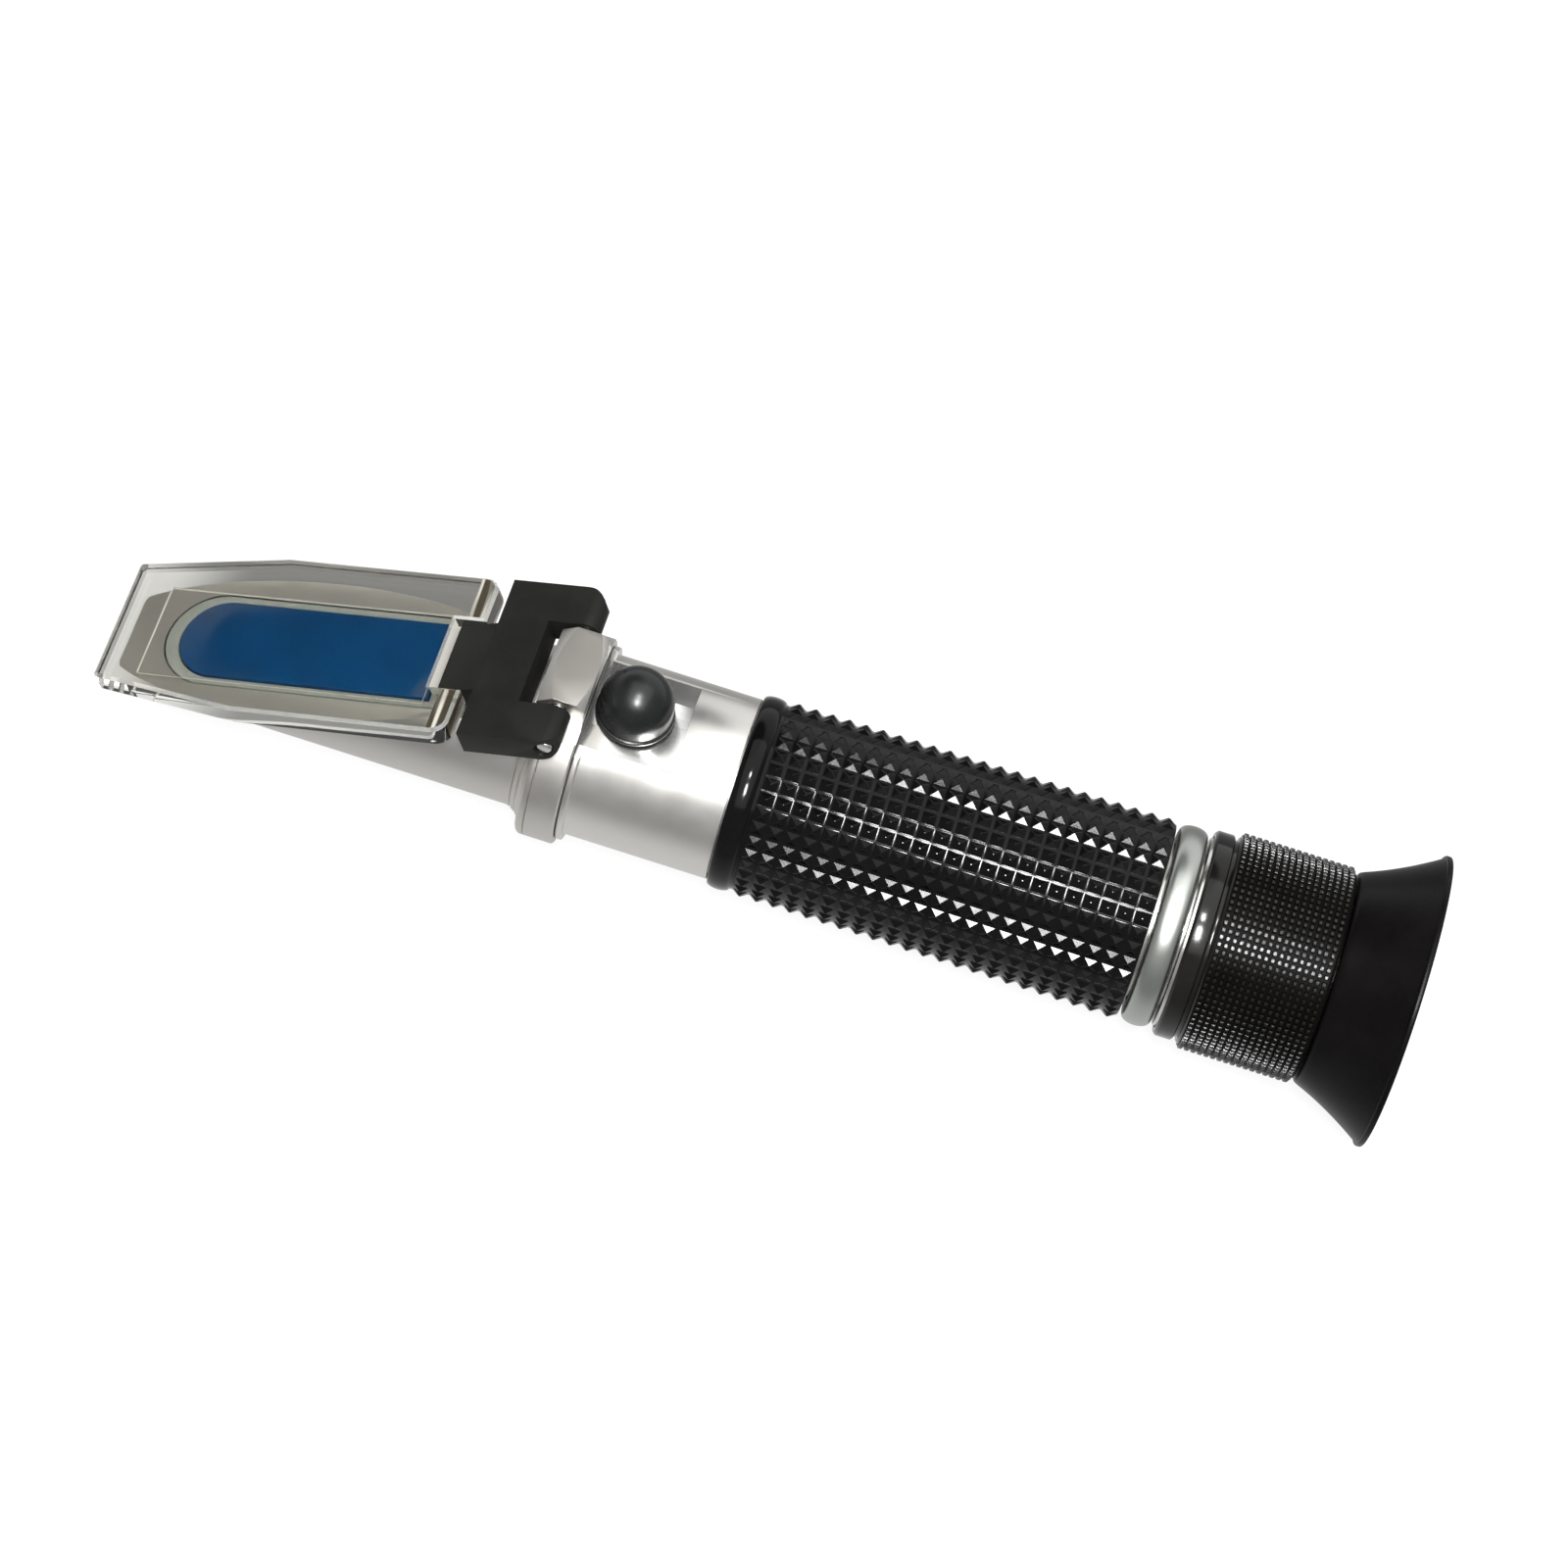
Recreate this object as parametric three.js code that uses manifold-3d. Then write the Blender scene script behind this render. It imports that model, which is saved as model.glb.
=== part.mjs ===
// Portable refractometer: a hinged daylight cover over an inclined prism, a tube with a
// studded rubber grip, a focusing eyepiece and a calibration screw under a rubber cap.
// Millimetres. X runs along the optical axis from the joint between the prism seat and
// the barrel (X = 0) to the eyepiece, Z = 0 is that axis and +Z is the cover side.

import * as THREE from 'three';
import { mergeVertices } from 'three/addons/utils/BufferGeometryUtils.js';
import Module from 'manifold-3d';

const wasm = await Module();
wasm.setup();

// Fits shared by all the pieces
const clearance = 0.3;
const contactGap = 0.2;
const runningFit = 0.15;
const overrun = 5;
const mergeTolerance = 1e-4;

// Facets in a turn
const outerSteps = 36;
const innerSteps = 20;
const smallSteps = 12;

// Driving dimensions, one table for each piece
const barrel = {
  radius: 11.72,
  bore: 9.0,
  shoulder: 19.5,
  gripSeatDepth: 0.72,
  lipRadius: 12.6,
  lipLength: 0.8,
  lipRound: 0.35,
  flatHeight: 9.8,
  flatLength: 12.15,
  counterboreDepth: 12.0,
  counterboreWall: 0.9,
};
const grip = {
  length: 54.0,
  wall: 0.72,
  beadLength: 2.9,
  beadRadius: 12.55,
  groove: 0.4,
  rows: 23,
  studsRound: 40,
  studHeight: 0.62,
  frontTip: 12.65,
  rearTip: 13.05,
};
const endRing = { length: 3.7, radius: 12.95, frontRound: 0.7, rearRound: 1.4 };
const seal = { thickness: 0.2, radius: 12.2 };
const collar = { radius: 13.4, length: 4.75, frontRound: 0.8, chamfer: 0.3 };
const flare = { length: 2.05, radius: 11.8 };
const seat = { radius: 10.4, front: 59.0, spigotLength: 1.8, lightBore: 4.5, floorWall: 2.8 };
const hinge = { setback: 3.4, rise: 1.0, pinRadius: 1.0, pinInset: 0.35, tiltDegrees: 20.7 };
const lug = { crown: 1.94, sideGap: 0.7, length: 5.3, chamfer: 1.15, chamferRise: 0.9, brow: 0.75 };
const holder = {
  thickness: 3.7,
  width: 23.8,
  notchWidth: 12.4,
  notchReach: 4.5,
  reach: 10.9,
  tongueWidth: 10.2,
  tongueReach: 16.3,
  tongueDrop: 1.6,
  cornerRadius: 2.0,
};
const plate = {
  thickness: 3.2,
  width: 23.8,
  frontWidth: 17.9,
  reach: 61.6,
  widestReach: 41.7,
  rearReach: 11.2,
  rearRadius: 2.0,
  padHeight: 0.3,
  padWidth: 13.6,
  padFrontInset: 4.7,
};
const prism = { width: 11.4, length: 34.9, tongueGap: 1.9, proud: 0.3 };
const gasket = { width: 0.9, tipExtra: 0.9, thickness: 0.8, recess: 1.1 };
const cap = {
  station: 5.3,
  domeRadius: 4.7,
  domeRise: 2.5,
  flangeRadius: 4.95,
  flangeHeight: 0.6,
  wall: 0.7,
};
const bush = { stemRadius: 3.0, flangeThickness: 0.7, height: 2.0, bore: 1.9 };
const screw = { slotWidth: 0.6, slotDepth: 0.7, headDrop: 0.6, tipGap: 0.4 };
const carriage = { length: 5.2, radius: 7.9, wall: 1.9, shoulder: 1.2, lip: 1.0 };
const objective = { edge: 1.4, crown: 0.5 };
const spring = { length: 6.8, width: 3.0, thickness: 0.3, bow: 0.15 };
const stop = { station: 39.5, thickness: 1.5, aperture: 4.0 };
const eyeTube = {
  bore: 9.2,
  sleeveLength: 11.0,
  neckRadius: 12.2,
  neckGap: 0.3,
  neckLength: 1.7,
  threadRadius: 11.2,
  threadLength: 12.5,
};
const focusRing = {
  lipGap: 0.7,
  lipLength: 2.5,
  lipRadius: 13.35,
  grooveLength: 0.5,
  grooveRadius: 12.95,
  knurlLength: 15.2,
  knurlRadius: 14.05,
  knurlDepth: 0.4,
  knurlChamfer: 0.5,
  ribs: 96,
  floorThickness: 1.8,
  spigotLength: 2.7,
  spigotWall: 1.8,
  rimHeight: 0.9,
  rimLength: 0.7,
};
const eyecup = { length: 10.3, neckRadius: 13.65, rimRadius: 18.9, wall: 1.2, lip: 0.8, sink: 0.35 };
const eyeCell = { wall: 1.3, flangeLength: 1.3, frontStop: 2.0, stopWall: 1.1, tailLength: 2.4 };
const eyeLens = { edge: 2.6, crown: 1.1 };
const fieldLens = { edge: 2.2, crown: 0.9 };
const eyeCap = { sleeveLength: 2.2, flangeLength: 1.0, flangeRadius: 10.2, wall: 0.9 };
const reticleParts = { cellLength: 7.0, cellWall: 1.1, stopLength: 2.0, glass: 1.5, ring: 1.4, ringWall: 1.0 };
const guide = { radius: 0.9, station: 5.0, slotRun: 3.4, headSink: 0.25 };
const oRing = { section: 0.3, station: 9.0, grooveDepth: 0.55, grooveWidth: 1.0 };

// Geometry and booleans
function closedMesh(geometry) {
  const bare = geometry.clone();
  bare.deleteAttribute('normal');
  if (bare.hasAttribute('uv')) {
    bare.deleteAttribute('uv');
  }
  const merged = mergeVertices(bare, mergeTolerance);
  const points = merged.getAttribute('position').array;
  const index = merged.getIndex().array;
  const kept = [];
  let volume = 0;
  const corner = (vertex) => new THREE.Vector3().fromArray(points, 3 * vertex);
  for (let i = 0; i < index.length; i += 3) {
    const [a, b, c] = [index[i], index[i + 1], index[i + 2]];
    if (a !== b && b !== c && c !== a) {
      kept.push(a, b, c);
      volume += corner(a).dot(corner(b).cross(corner(c)));
    }
  }
  if (volume < 0) {
    kept.reverse();
  }
  return { points: new Float32Array(points), index: new Uint32Array(kept) };
}

function toSolid(geometry) {
  const { points, index } = closedMesh(geometry);
  return new wasm.Manifold(new wasm.Mesh({ numProp: 3, vertProperties: points, triVerts: index }));
}

function toGeometry(solid) {
  const mesh = solid.getMesh();
  const geometry = new THREE.BufferGeometry();
  geometry.setAttribute('position', new THREE.BufferAttribute(new Float32Array(mesh.vertProperties), 3));
  geometry.setIndex(new THREE.BufferAttribute(new Uint32Array(mesh.triVerts), 1));
  geometry.computeVertexNormals();
  return geometry;
}

// A closed profile of [place, radius] points turned about Y, X or Z
function turnedY(profile, steps) {
  const closed = [...profile, profile[0]];
  return new THREE.LatheGeometry(closed.map(([place, radius]) => new THREE.Vector2(radius, place)), steps);
}

function turnedX(profile, steps) {
  return turnedY(profile, steps).rotateZ(-Math.PI / 2);
}

function turnedZ(profile, steps) {
  return turnedY(profile, steps).rotateX(Math.PI / 2);
}

function ringX(from, to, inner, outer, steps) {
  return turnedX([[from, inner], [from, outer], [to, outer], [to, inner]], steps);
}

function rodX(from, to, radius, steps) {
  return turnedX([[from, 0], [from, radius], [to, radius], [to, 0]], steps);
}

function rodZ(from, to, radius, steps) {
  return turnedZ([[from, 0], [from, radius], [to, radius], [to, 0]], steps);
}

function rodY(from, to, radius, steps) {
  return turnedY([[from, 0], [from, radius], [to, radius], [to, 0]], steps);
}

function block(fromX, toX, fromY, toY, fromZ, toZ) {
  const box = new THREE.BoxGeometry(toX - fromX, toY - fromY, toZ - fromZ);
  return box.translate((fromX + toX) / 2, (fromY + toY) / 2, (fromZ + toZ) / 2);
}

function slab(shape, fromZ, toZ, curveSteps = smallSteps / 2) {
  const geometry = new THREE.ExtrudeGeometry(shape, {
    depth: toZ - fromZ,
    bevelEnabled: false,
    curveSegments: curveSteps,
  });
  return geometry.translate(0, 0, fromZ);
}

// The rounded corner of a profile: points on a quarter circle between two directions
function corner(place, radius, round, fromDegrees, toDegrees, count = 3) {
  const points = [];
  for (let i = 0; i <= count; i += 1) {
    const angle = THREE.MathUtils.degToRad(fromDegrees + ((toDegrees - fromDegrees) * i) / count);
    points.push([place + round * Math.cos(angle), radius + round * Math.sin(angle)]);
  }
  return points;
}

// A biconvex lens on the X axis: a flat edge between two bulged faces
function lensX(from, edge, crown, radius) {
  const lensSteps = 3;
  const front = [];
  const back = [];
  for (let i = 0; i <= lensSteps; i += 1) {
    const share = i / lensSteps;
    const bulge = crown * (1 - share * share);
    front.push([from - bulge, radius * share]);
    back.unshift([from + edge + bulge, radius * share]);
  }
  return turnedX([...front, ...back], innerSteps);
}

// How far a lens face stands forward of its edge where a ring of this inner radius meets it
function faceRise(crown, ringRadius, edgeRadius) {
  const share = ringRadius / edgeRadius;
  return crown * (1 - share * share);
}

// Places worked out from the driving dimensions
const tilt = THREE.MathUtils.degToRad(hinge.tiltDegrees);
const prismRear = holder.tongueReach + prism.tongueGap;
const prismTip = prismRear + prism.length;
const collarRear = -(seal.thickness + contactGap);
const pinHeight = collar.radius + hinge.rise;
const pinX = -hinge.setback;
const gripRear = barrel.shoulder + grip.length;
const ringFront = gripRear + clearance;
const ringRear = ringFront + endRing.length;
const neckFront = ringRear + eyeTube.neckGap;
const neckRear = neckFront + eyeTube.neckLength;
const threadRear = neckRear + eyeTube.threadLength;
const focusFront = ringRear + focusRing.lipGap;
const knurlFront = focusFront + focusRing.lipLength + focusRing.grooveLength;
const knurlRear = knurlFront + focusRing.knurlLength;
const floorFront = knurlRear - focusRing.floorThickness;
const cellFlangeFront = floorFront - clearance - eyeCell.flangeLength;
const spigotRear = knurlRear + focusRing.spigotLength;
const cellRear = knurlRear + eyeCell.tailLength;
const cellRadius = eyeTube.bore - clearance;
const cellTailRadius = cellRadius - clearance;
const cellBore = cellRadius - eyeCell.wall;
const cellFront = threadRear - eyeTube.threadLength - eyeTube.neckLength - eyeCell.frontStop;
const floorHole = cellTailRadius + clearance;
const eyecupRear = knurlRear + eyecup.length + clearance;
const seatFloor = -(seat.radius - seat.floorWall);

// The inclined frame: origin on the hinge pin, X up the slope, Z square to the cover
const inclined = new THREE.Matrix4().makeRotationY(-tilt).setPosition(pinX, 0, pinHeight);
const coverTop = holder.thickness / 2;
const coverStack = plate.thickness + plate.padHeight + contactGap + prism.proud;
const metalFace = coverTop - Math.max(holder.thickness + clearance, coverStack);

function heightOnSlope(x, level) {
  return pinHeight + (x - pinX) * Math.tan(tilt) + level / Math.cos(tilt);
}

const slopeEnd = pinX - holder.notchReach * Math.cos(tilt) + coverTop * Math.sin(tilt) + clearance;
const collarFront = Math.max(collarRear - collar.length, slopeEnd);
const shelfHeight = heightOnSlope(slopeEnd, -coverTop) - clearance;
const lugHalf = holder.notchWidth / 2 - lug.sideGap;

// Outline of the prism and all that follows it: straight rear, round tip
function prismOutline(grow, tipExtra = 0) {
  const half = prism.width / 2 + grow;
  const rear = -prismRear + grow;
  const tipCentre = -prismTip + prism.width / 2 - tipExtra;
  const shape = new THREE.Shape();
  shape.moveTo(rear, half);
  shape.lineTo(tipCentre, half);
  shape.absarc(tipCentre, 0, half, Math.PI / 2, (3 * Math.PI) / 2, false);
  shape.lineTo(rear, -half);
  shape.closePath();
  return shape;
}

function prismSolid(grow, top, floor) {
  const depth = prismTip;
  const column = toSolid(slab(prismOutline(grow), top - depth, top).applyMatrix4(inclined));
  const span = plate.reach + seat.front;
  const above = toSolid(block(-span, span, -plate.width, plate.width, floor, span));
  return column.intersect(above);
}

// Prism seat: spigot, collar with its lug, flare and the cylinder cut by the slope
function makePrismSeat() {
  const spigotRadius = barrel.bore - clearance;
  const flareFront = collarFront - flare.length;
  const front = collar.frontRound;
  const body = toSolid(turnedX([
    [seat.spigotLength, 0],
    [seat.spigotLength, spigotRadius],
    [collarRear, spigotRadius],
    [collarRear, collar.radius - collar.chamfer],
    [collarRear - collar.chamfer, collar.radius],
    ...corner(collarFront + front, collar.radius - front, front, 90, 180, 3),
    [collarFront, flare.radius],
    [flareFront, seat.radius],
    [-seat.front, seat.radius],
    [-seat.front, 0],
  ], outerSteps));
  const lugTop = pinHeight + lug.crown;
  const lugFront = collarRear - lug.length;
  const browFront = lugFront - lug.brow;
  const browDrop = (lug.brow * lug.chamferRise) / lug.chamfer;
  const lugDisc = toSolid(turnedX([
    [collarRear, 0],
    [collarRear, lugTop],
    [collarRear - lug.chamfer, lugTop + lug.chamferRise],
    [lugFront + lug.chamfer, lugTop + lug.chamferRise],
    [browFront, lugTop - browDrop],
    [browFront, 0],
  ], outerSteps));
  const lugBox = toSolid(block(browFront - overrun, collarRear + overrun, -lugHalf, lugHalf, 0, lugTop));
  const shelfCut = (side) => toSolid(block(
    slopeEnd - overrun,
    collarRear + overrun,
    side > 0 ? lugHalf : -collar.radius - overrun,
    side > 0 ? collar.radius + overrun : -lugHalf,
    shelfHeight,
    lugTop + overrun,
  ));
  const slope = new THREE.Shape();
  const farX = -seat.front - overrun;
  slope.moveTo(farX, heightOnSlope(farX, metalFace));
  slope.lineTo(slopeEnd, heightOnSlope(slopeEnd, metalFace));
  slope.lineTo(slopeEnd, lugTop + overrun);
  slope.lineTo(farX, lugTop + overrun);
  slope.closePath();
  const wedge = slab(slope, -collar.radius - overrun, collar.radius + overrun);
  const slopeCut = toSolid(wedge.rotateX(Math.PI / 2));
  const gasketRecess = toSolid(slab(
    prismOutline(gasket.width + 2 * contactGap, gasket.tipExtra),
    metalFace - gasket.recess,
    metalFace + overrun,
  ).applyMatrix4(inclined));
  const pinHole = toSolid(rodY(-holder.width, holder.width, hinge.pinRadius + runningFit, smallSteps)
    .translate(pinX, 0, pinHeight));
  return body
    .add(lugDisc.intersect(lugBox))
    .subtract(shelfCut(1))
    .subtract(shelfCut(-1))
    .subtract(slopeCut)
    .subtract(prismSolid(contactGap, metalFace + overrun, seatFloor))
    .subtract(gasketRecess)
    .subtract(toSolid(rodX(-prismRear, seat.spigotLength + overrun, seat.lightBore, innerSteps)))
    .subtract(pinHole);
}

// The blue glass wedge, a little proud of the metal face
function makePrism() {
  return prismSolid(0, metalFace + prism.proud, seatFloor + clearance);
}

// The bonding ring that fills the recess round the prism
function makeGasket() {
  const shape = prismOutline(gasket.width + contactGap, gasket.tipExtra);
  shape.holes.push(prismOutline(contactGap));
  return toSolid(slab(shape, metalFace - gasket.thickness, metalFace).applyMatrix4(inclined));
}

// Hinge pin across both ears and the lug
function makeHingePin() {
  const half = holder.width / 2 - hinge.pinInset;
  return rodY(-half, half, hinge.pinRadius, smallSteps);
}

// Cover holder in the inclined frame: block, two round-ended ears and a sloping tongue
function makeHolder() {
  const half = holder.width / 2;
  const notch = holder.notchWidth / 2;
  const tongue = holder.tongueWidth / 2;
  const round = holder.cornerRadius;
  const earEnd = holder.thickness / 2;
  const shape = new THREE.Shape();
  shape.moveTo(earEnd, notch);
  shape.lineTo(earEnd, half - round);
  shape.absarc(earEnd - round, half - round, round, 0, Math.PI / 2, false);
  shape.lineTo(-holder.reach, half);
  shape.lineTo(-holder.reach, tongue);
  shape.lineTo(-holder.tongueReach, tongue);
  shape.lineTo(-holder.tongueReach, -tongue);
  shape.lineTo(-holder.reach, -tongue);
  shape.lineTo(-holder.reach, -half);
  shape.lineTo(earEnd - round, -half);
  shape.absarc(earEnd - round, -half + round, round, -Math.PI / 2, 0, false);
  shape.lineTo(earEnd, -notch);
  shape.lineTo(-holder.notchReach, -notch);
  shape.lineTo(-holder.notchReach, notch);
  shape.closePath();
  const flat = toSolid(slab(shape, -earEnd, earEnd));
  const side = new THREE.Shape();
  side.moveTo(-holder.tongueReach, -earEnd);
  side.lineTo(0, -earEnd);
  side.absarc(0, 0, earEnd, -Math.PI / 2, Math.PI / 2, false);
  side.lineTo(-holder.reach, earEnd);
  side.lineTo(-holder.tongueReach, earEnd - holder.tongueDrop);
  side.closePath();
  const sideSolid = toSolid(slab(side, -holder.width, holder.width).rotateX(Math.PI / 2));
  const pinHole = toSolid(rodY(-holder.width, holder.width, hinge.pinRadius + runningFit, smallSteps));
  return flat.intersect(sideSolid).subtract(pinHole);
}

// Clear cover plate in the inclined frame: coffin-shaped plan, notch for the tongue, pad below
function makePlate() {
  const half = plate.width / 2;
  const front = plate.frontWidth / 2;
  const slot = holder.tongueWidth / 2 + contactGap;
  const slotFront = -holder.tongueReach - contactGap;
  const round = plate.rearRadius;
  const rear = -plate.rearReach;
  const shape = new THREE.Shape();
  shape.moveTo(rear, slot);
  shape.lineTo(rear, half - round);
  shape.absarc(rear - round, half - round, round, 0, Math.PI / 2, false);
  shape.lineTo(-plate.widestReach, half);
  shape.lineTo(-plate.reach, front);
  shape.lineTo(-plate.reach, -front);
  shape.lineTo(-plate.widestReach, -half);
  shape.lineTo(rear - round, -half);
  shape.absarc(rear - round, -half + round, round, -Math.PI / 2, 0, false);
  shape.lineTo(rear, -slot);
  shape.lineTo(slotFront, -slot);
  shape.lineTo(slotFront, slot);
  shape.closePath();
  const under = coverTop - plate.thickness;
  const body = toSolid(slab(shape, under, coverTop));
  const pad = toSolid(block(
    -plate.reach + plate.padFrontInset,
    slotFront,
    -plate.padWidth / 2,
    plate.padWidth / 2,
    under - plate.padHeight,
    under + plate.padHeight,
  ));
  return body.add(pad);
}

// Dark seal in the joint between seat and barrel
function makeSeal() {
  const from = -seal.thickness - contactGap / 2;
  return ringX(from, from + seal.thickness, barrel.bore, seal.radius, outerSteps);
}

// Barrel tube: lip, milled flat for the cap, step under the grip and rear counterbore
function makeBarrel() {
  const lip = barrel.lipRadius;
  const round = barrel.lipRound;
  const gripSeat = barrel.radius - barrel.gripSeatDepth;
  const counterbore = gripSeat - barrel.counterboreWall;
  const counterboreFront = gripRear - barrel.counterboreDepth;
  const body = toSolid(turnedX([
    [0, barrel.bore],
    ...corner(round, lip - round, round, 180, 90, 3),
    ...corner(barrel.lipLength - round, lip - round, round, 90, 0, 3),
    [barrel.lipLength, barrel.radius],
    [barrel.shoulder, barrel.radius],
    [barrel.shoulder, gripSeat],
    [gripRear, gripSeat],
    [gripRear, counterbore],
    [counterboreFront, counterbore],
    [counterboreFront, barrel.bore],
  ], outerSteps));
  const flat = toSolid(block(
    -overrun,
    barrel.flatLength,
    -barrel.radius,
    barrel.radius,
    barrel.flatHeight,
    barrel.radius + overrun,
  ));
  const hole = toSolid(rodZ(0, barrel.radius + overrun, bush.stemRadius + runningFit, smallSteps)
    .translate(cap.station, 0, 0));
  return body.subtract(flat).subtract(hole);
}

// Rubber grip: a smooth bead, then rows of four-sided studs round the tube
function makeGrip() {
  const bore = barrel.radius - barrel.gripSeatDepth + clearance;
  const front = barrel.shoulder + contactGap;
  const rear = gripRear - contactGap;
  const studsFront = front + grip.beadLength + grip.groove;
  const pitch = (rear - studsFront) / grip.rows;
  const round = grip.studsRound;
  const vertices = [];
  const triangles = [];
  const point = (x, radius, turn) => {
    const angle = (2 * Math.PI * turn) / round;
    vertices.push(x, -radius * Math.sin(angle), radius * Math.cos(angle));
    return vertices.length / 3 - 1;
  };
  const rings = [];
  const addRing = (x, radius) => {
    const ring = [];
    for (let i = 0; i < round; i += 1) {
      ring.push(point(x, radius, i));
    }
    rings.push(ring);
    return ring;
  };
  const joinRings = (a, b) => {
    for (let i = 0; i < round; i += 1) {
      const next = (i + 1) % round;
      triangles.push(a[i], b[i], b[next], a[i], b[next], a[next]);
    }
  };
  const tipAt = (x) => grip.frontTip + ((grip.rearTip - grip.frontTip) * (x - studsFront)) / (rear - studsFront);
  const studBase = grip.frontTip - grip.studHeight;
  const beadMiddle = front + grip.beadLength / 2;
  const beadSteps = 5;
  const innerFront = addRing(front, bore);
  for (let i = 0; i <= beadSteps; i += 1) {
    const angle = Math.PI * (1 - i / beadSteps);
    const rise = grip.beadRadius - studBase;
    addRing(beadMiddle + (grip.beadLength / 2) * Math.cos(angle), studBase + rise * Math.sin(angle));
  }
  for (let i = 1; i < rings.length; i += 1) {
    joinRings(rings[i - 1], rings[i]);
  }
  let before = addRing(studsFront, studBase);
  joinRings(rings[rings.length - 2], before);
  for (let row = 0; row < grip.rows; row += 1) {
    const x = studsFront + pitch * row;
    const after = addRing(x + pitch, tipAt(x + pitch) - grip.studHeight);
    for (let i = 0; i < round; i += 1) {
      const next = (i + 1) % round;
      const tip = point(x + pitch / 2, tipAt(x + pitch / 2), i + 1 / 2);
      triangles.push(before[i], after[i], tip, after[i], after[next], tip);
      triangles.push(after[next], before[next], tip, before[next], before[i], tip);
    }
    before = after;
  }
  const innerRear = addRing(rear, bore);
  joinRings(before, innerRear);
  joinRings(innerRear, innerFront);
  const geometry = new THREE.BufferGeometry();
  geometry.setAttribute('position', new THREE.BufferAttribute(new Float32Array(vertices), 3));
  geometry.setIndex(triangles);
  geometry.computeVertexNormals();
  return toSolid(geometry);
}

// Satin end ring with rounded edges
function makeEndRing() {
  const front = endRing.frontRound;
  const rear = endRing.rearRound;
  const bore = eyeTube.bore + eyeTubeWall() + clearance;
  return turnedX([
    [ringFront, bore],
    ...corner(ringFront + front, endRing.radius - front, front, 180, 90),
    ...corner(ringRear - rear, endRing.radius - rear, rear, 90, 0),
    [ringRear, bore],
  ], outerSteps);
}

function eyeTubeWall() {
  const counterbore = barrel.radius - barrel.gripSeatDepth - barrel.counterboreWall;
  return counterbore - clearance - eyeTube.bore;
}

// Eyepiece tube: sleeve in the barrel, bright neck and threaded tube under the focusing ring
function makeEyeTube() {
  const sleeve = eyeTube.bore + eyeTubeWall();
  const grooveX = neckRear + oRing.station;
  const body = toSolid(turnedX([
    [gripRear - eyeTube.sleeveLength, eyeTube.bore],
    [gripRear - eyeTube.sleeveLength, sleeve],
    [neckFront, sleeve],
    [neckFront, eyeTube.neckRadius],
    [neckRear, eyeTube.neckRadius],
    [neckRear, eyeTube.threadRadius],
    [grooveX, eyeTube.threadRadius],
    [grooveX, eyeTube.threadRadius - oRing.grooveDepth],
    [grooveX + oRing.grooveWidth, eyeTube.threadRadius - oRing.grooveDepth],
    [grooveX + oRing.grooveWidth, eyeTube.threadRadius],
    [threadRear, eyeTube.threadRadius],
    [threadRear, eyeTube.bore],
  ], outerSteps));
  const hole = toSolid(rodZ(0, eyeTube.threadRadius + overrun, guide.radius + runningFit, smallSteps)
    .translate(neckRear + guide.station, 0, 0));
  return body.subtract(hole);
}

// Grease-holding ring in the groove of the threaded tube
function makeORing() {
  const middle = neckRear + oRing.station + oRing.grooveWidth / 2;
  const radius = eyeTube.threadRadius - oRing.grooveDepth + runningFit + oRing.section;
  const sectionSteps = 5;
  const lastDegrees = 360 - 360 / sectionSteps;
  const profile = corner(middle, radius, oRing.section, 0, lastDegrees, sectionSteps - 1);
  return turnedX(profile, outerSteps);
}

// Pin that keeps the eyepiece cell from turning
function makeGuidePin() {
  const from = cellBore + clearance + guide.headSink;
  const to = eyeTube.threadRadius - guide.headSink;
  return rodZ(from, to, guide.radius, smallSteps).translate(neckRear + guide.station, 0, 0);
}

// Focusing ring: plain lip, groove, ribbed band, floor and the spigot that holds the eyecup
function makeFocusRing() {
  const neckRoom = eyeTube.neckRadius + clearance;
  const threadRoom = eyeTube.threadRadius + clearance;
  const grooveFront = knurlFront - focusRing.grooveLength;
  const spigotOuter = floorHole + focusRing.spigotWall;
  const chamfer = focusRing.knurlChamfer;
  const valley = focusRing.knurlRadius - focusRing.knurlDepth;
  const body = toSolid(turnedX([
    [focusFront, neckRoom],
    [focusFront, focusRing.lipRadius - chamfer / 2],
    [focusFront + chamfer / 2, focusRing.lipRadius],
    [grooveFront, focusRing.lipRadius],
    [grooveFront, focusRing.grooveRadius],
    [knurlFront, focusRing.grooveRadius],
    [knurlFront, valley - chamfer],
    [knurlFront + chamfer, valley],
    [knurlRear - chamfer, valley],
    [knurlRear, valley - chamfer],
    [knurlRear, spigotOuter],
    [spigotRear - focusRing.rimLength, spigotOuter],
    [spigotRear - focusRing.rimLength, spigotOuter + focusRing.rimHeight],
    [spigotRear, spigotOuter + focusRing.rimHeight / 2],
    [spigotRear, floorHole],
    [floorFront, floorHole],
    [floorFront, threadRoom],
    [neckRear + clearance, threadRoom],
    [neckRear + clearance, neckRoom],
  ], outerSteps));
  const ribs = new THREE.Shape();
  const half = Math.PI / focusRing.ribs;
  for (let i = 0; i < focusRing.ribs; i += 1) {
    const angle = 2 * half * i;
    const tip = focusRing.knurlRadius;
    ribs[i === 0 ? 'moveTo' : 'lineTo'](tip * Math.cos(angle), tip * Math.sin(angle));
    ribs.lineTo(valley * Math.cos(angle + half), valley * Math.sin(angle + half));
  }
  ribs.closePath();
  const core = new THREE.Path();
  const coreRadius = (threadRoom + valley) / 2;
  core.absarc(0, 0, coreRadius, 0, 2 * Math.PI, true);
  ribs.holes.push(core);
  const band = toSolid(slab(ribs, knurlFront + chamfer / 2, knurlRear - chamfer / 2).rotateY(Math.PI / 2));
  return body.add(band);
}

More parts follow.
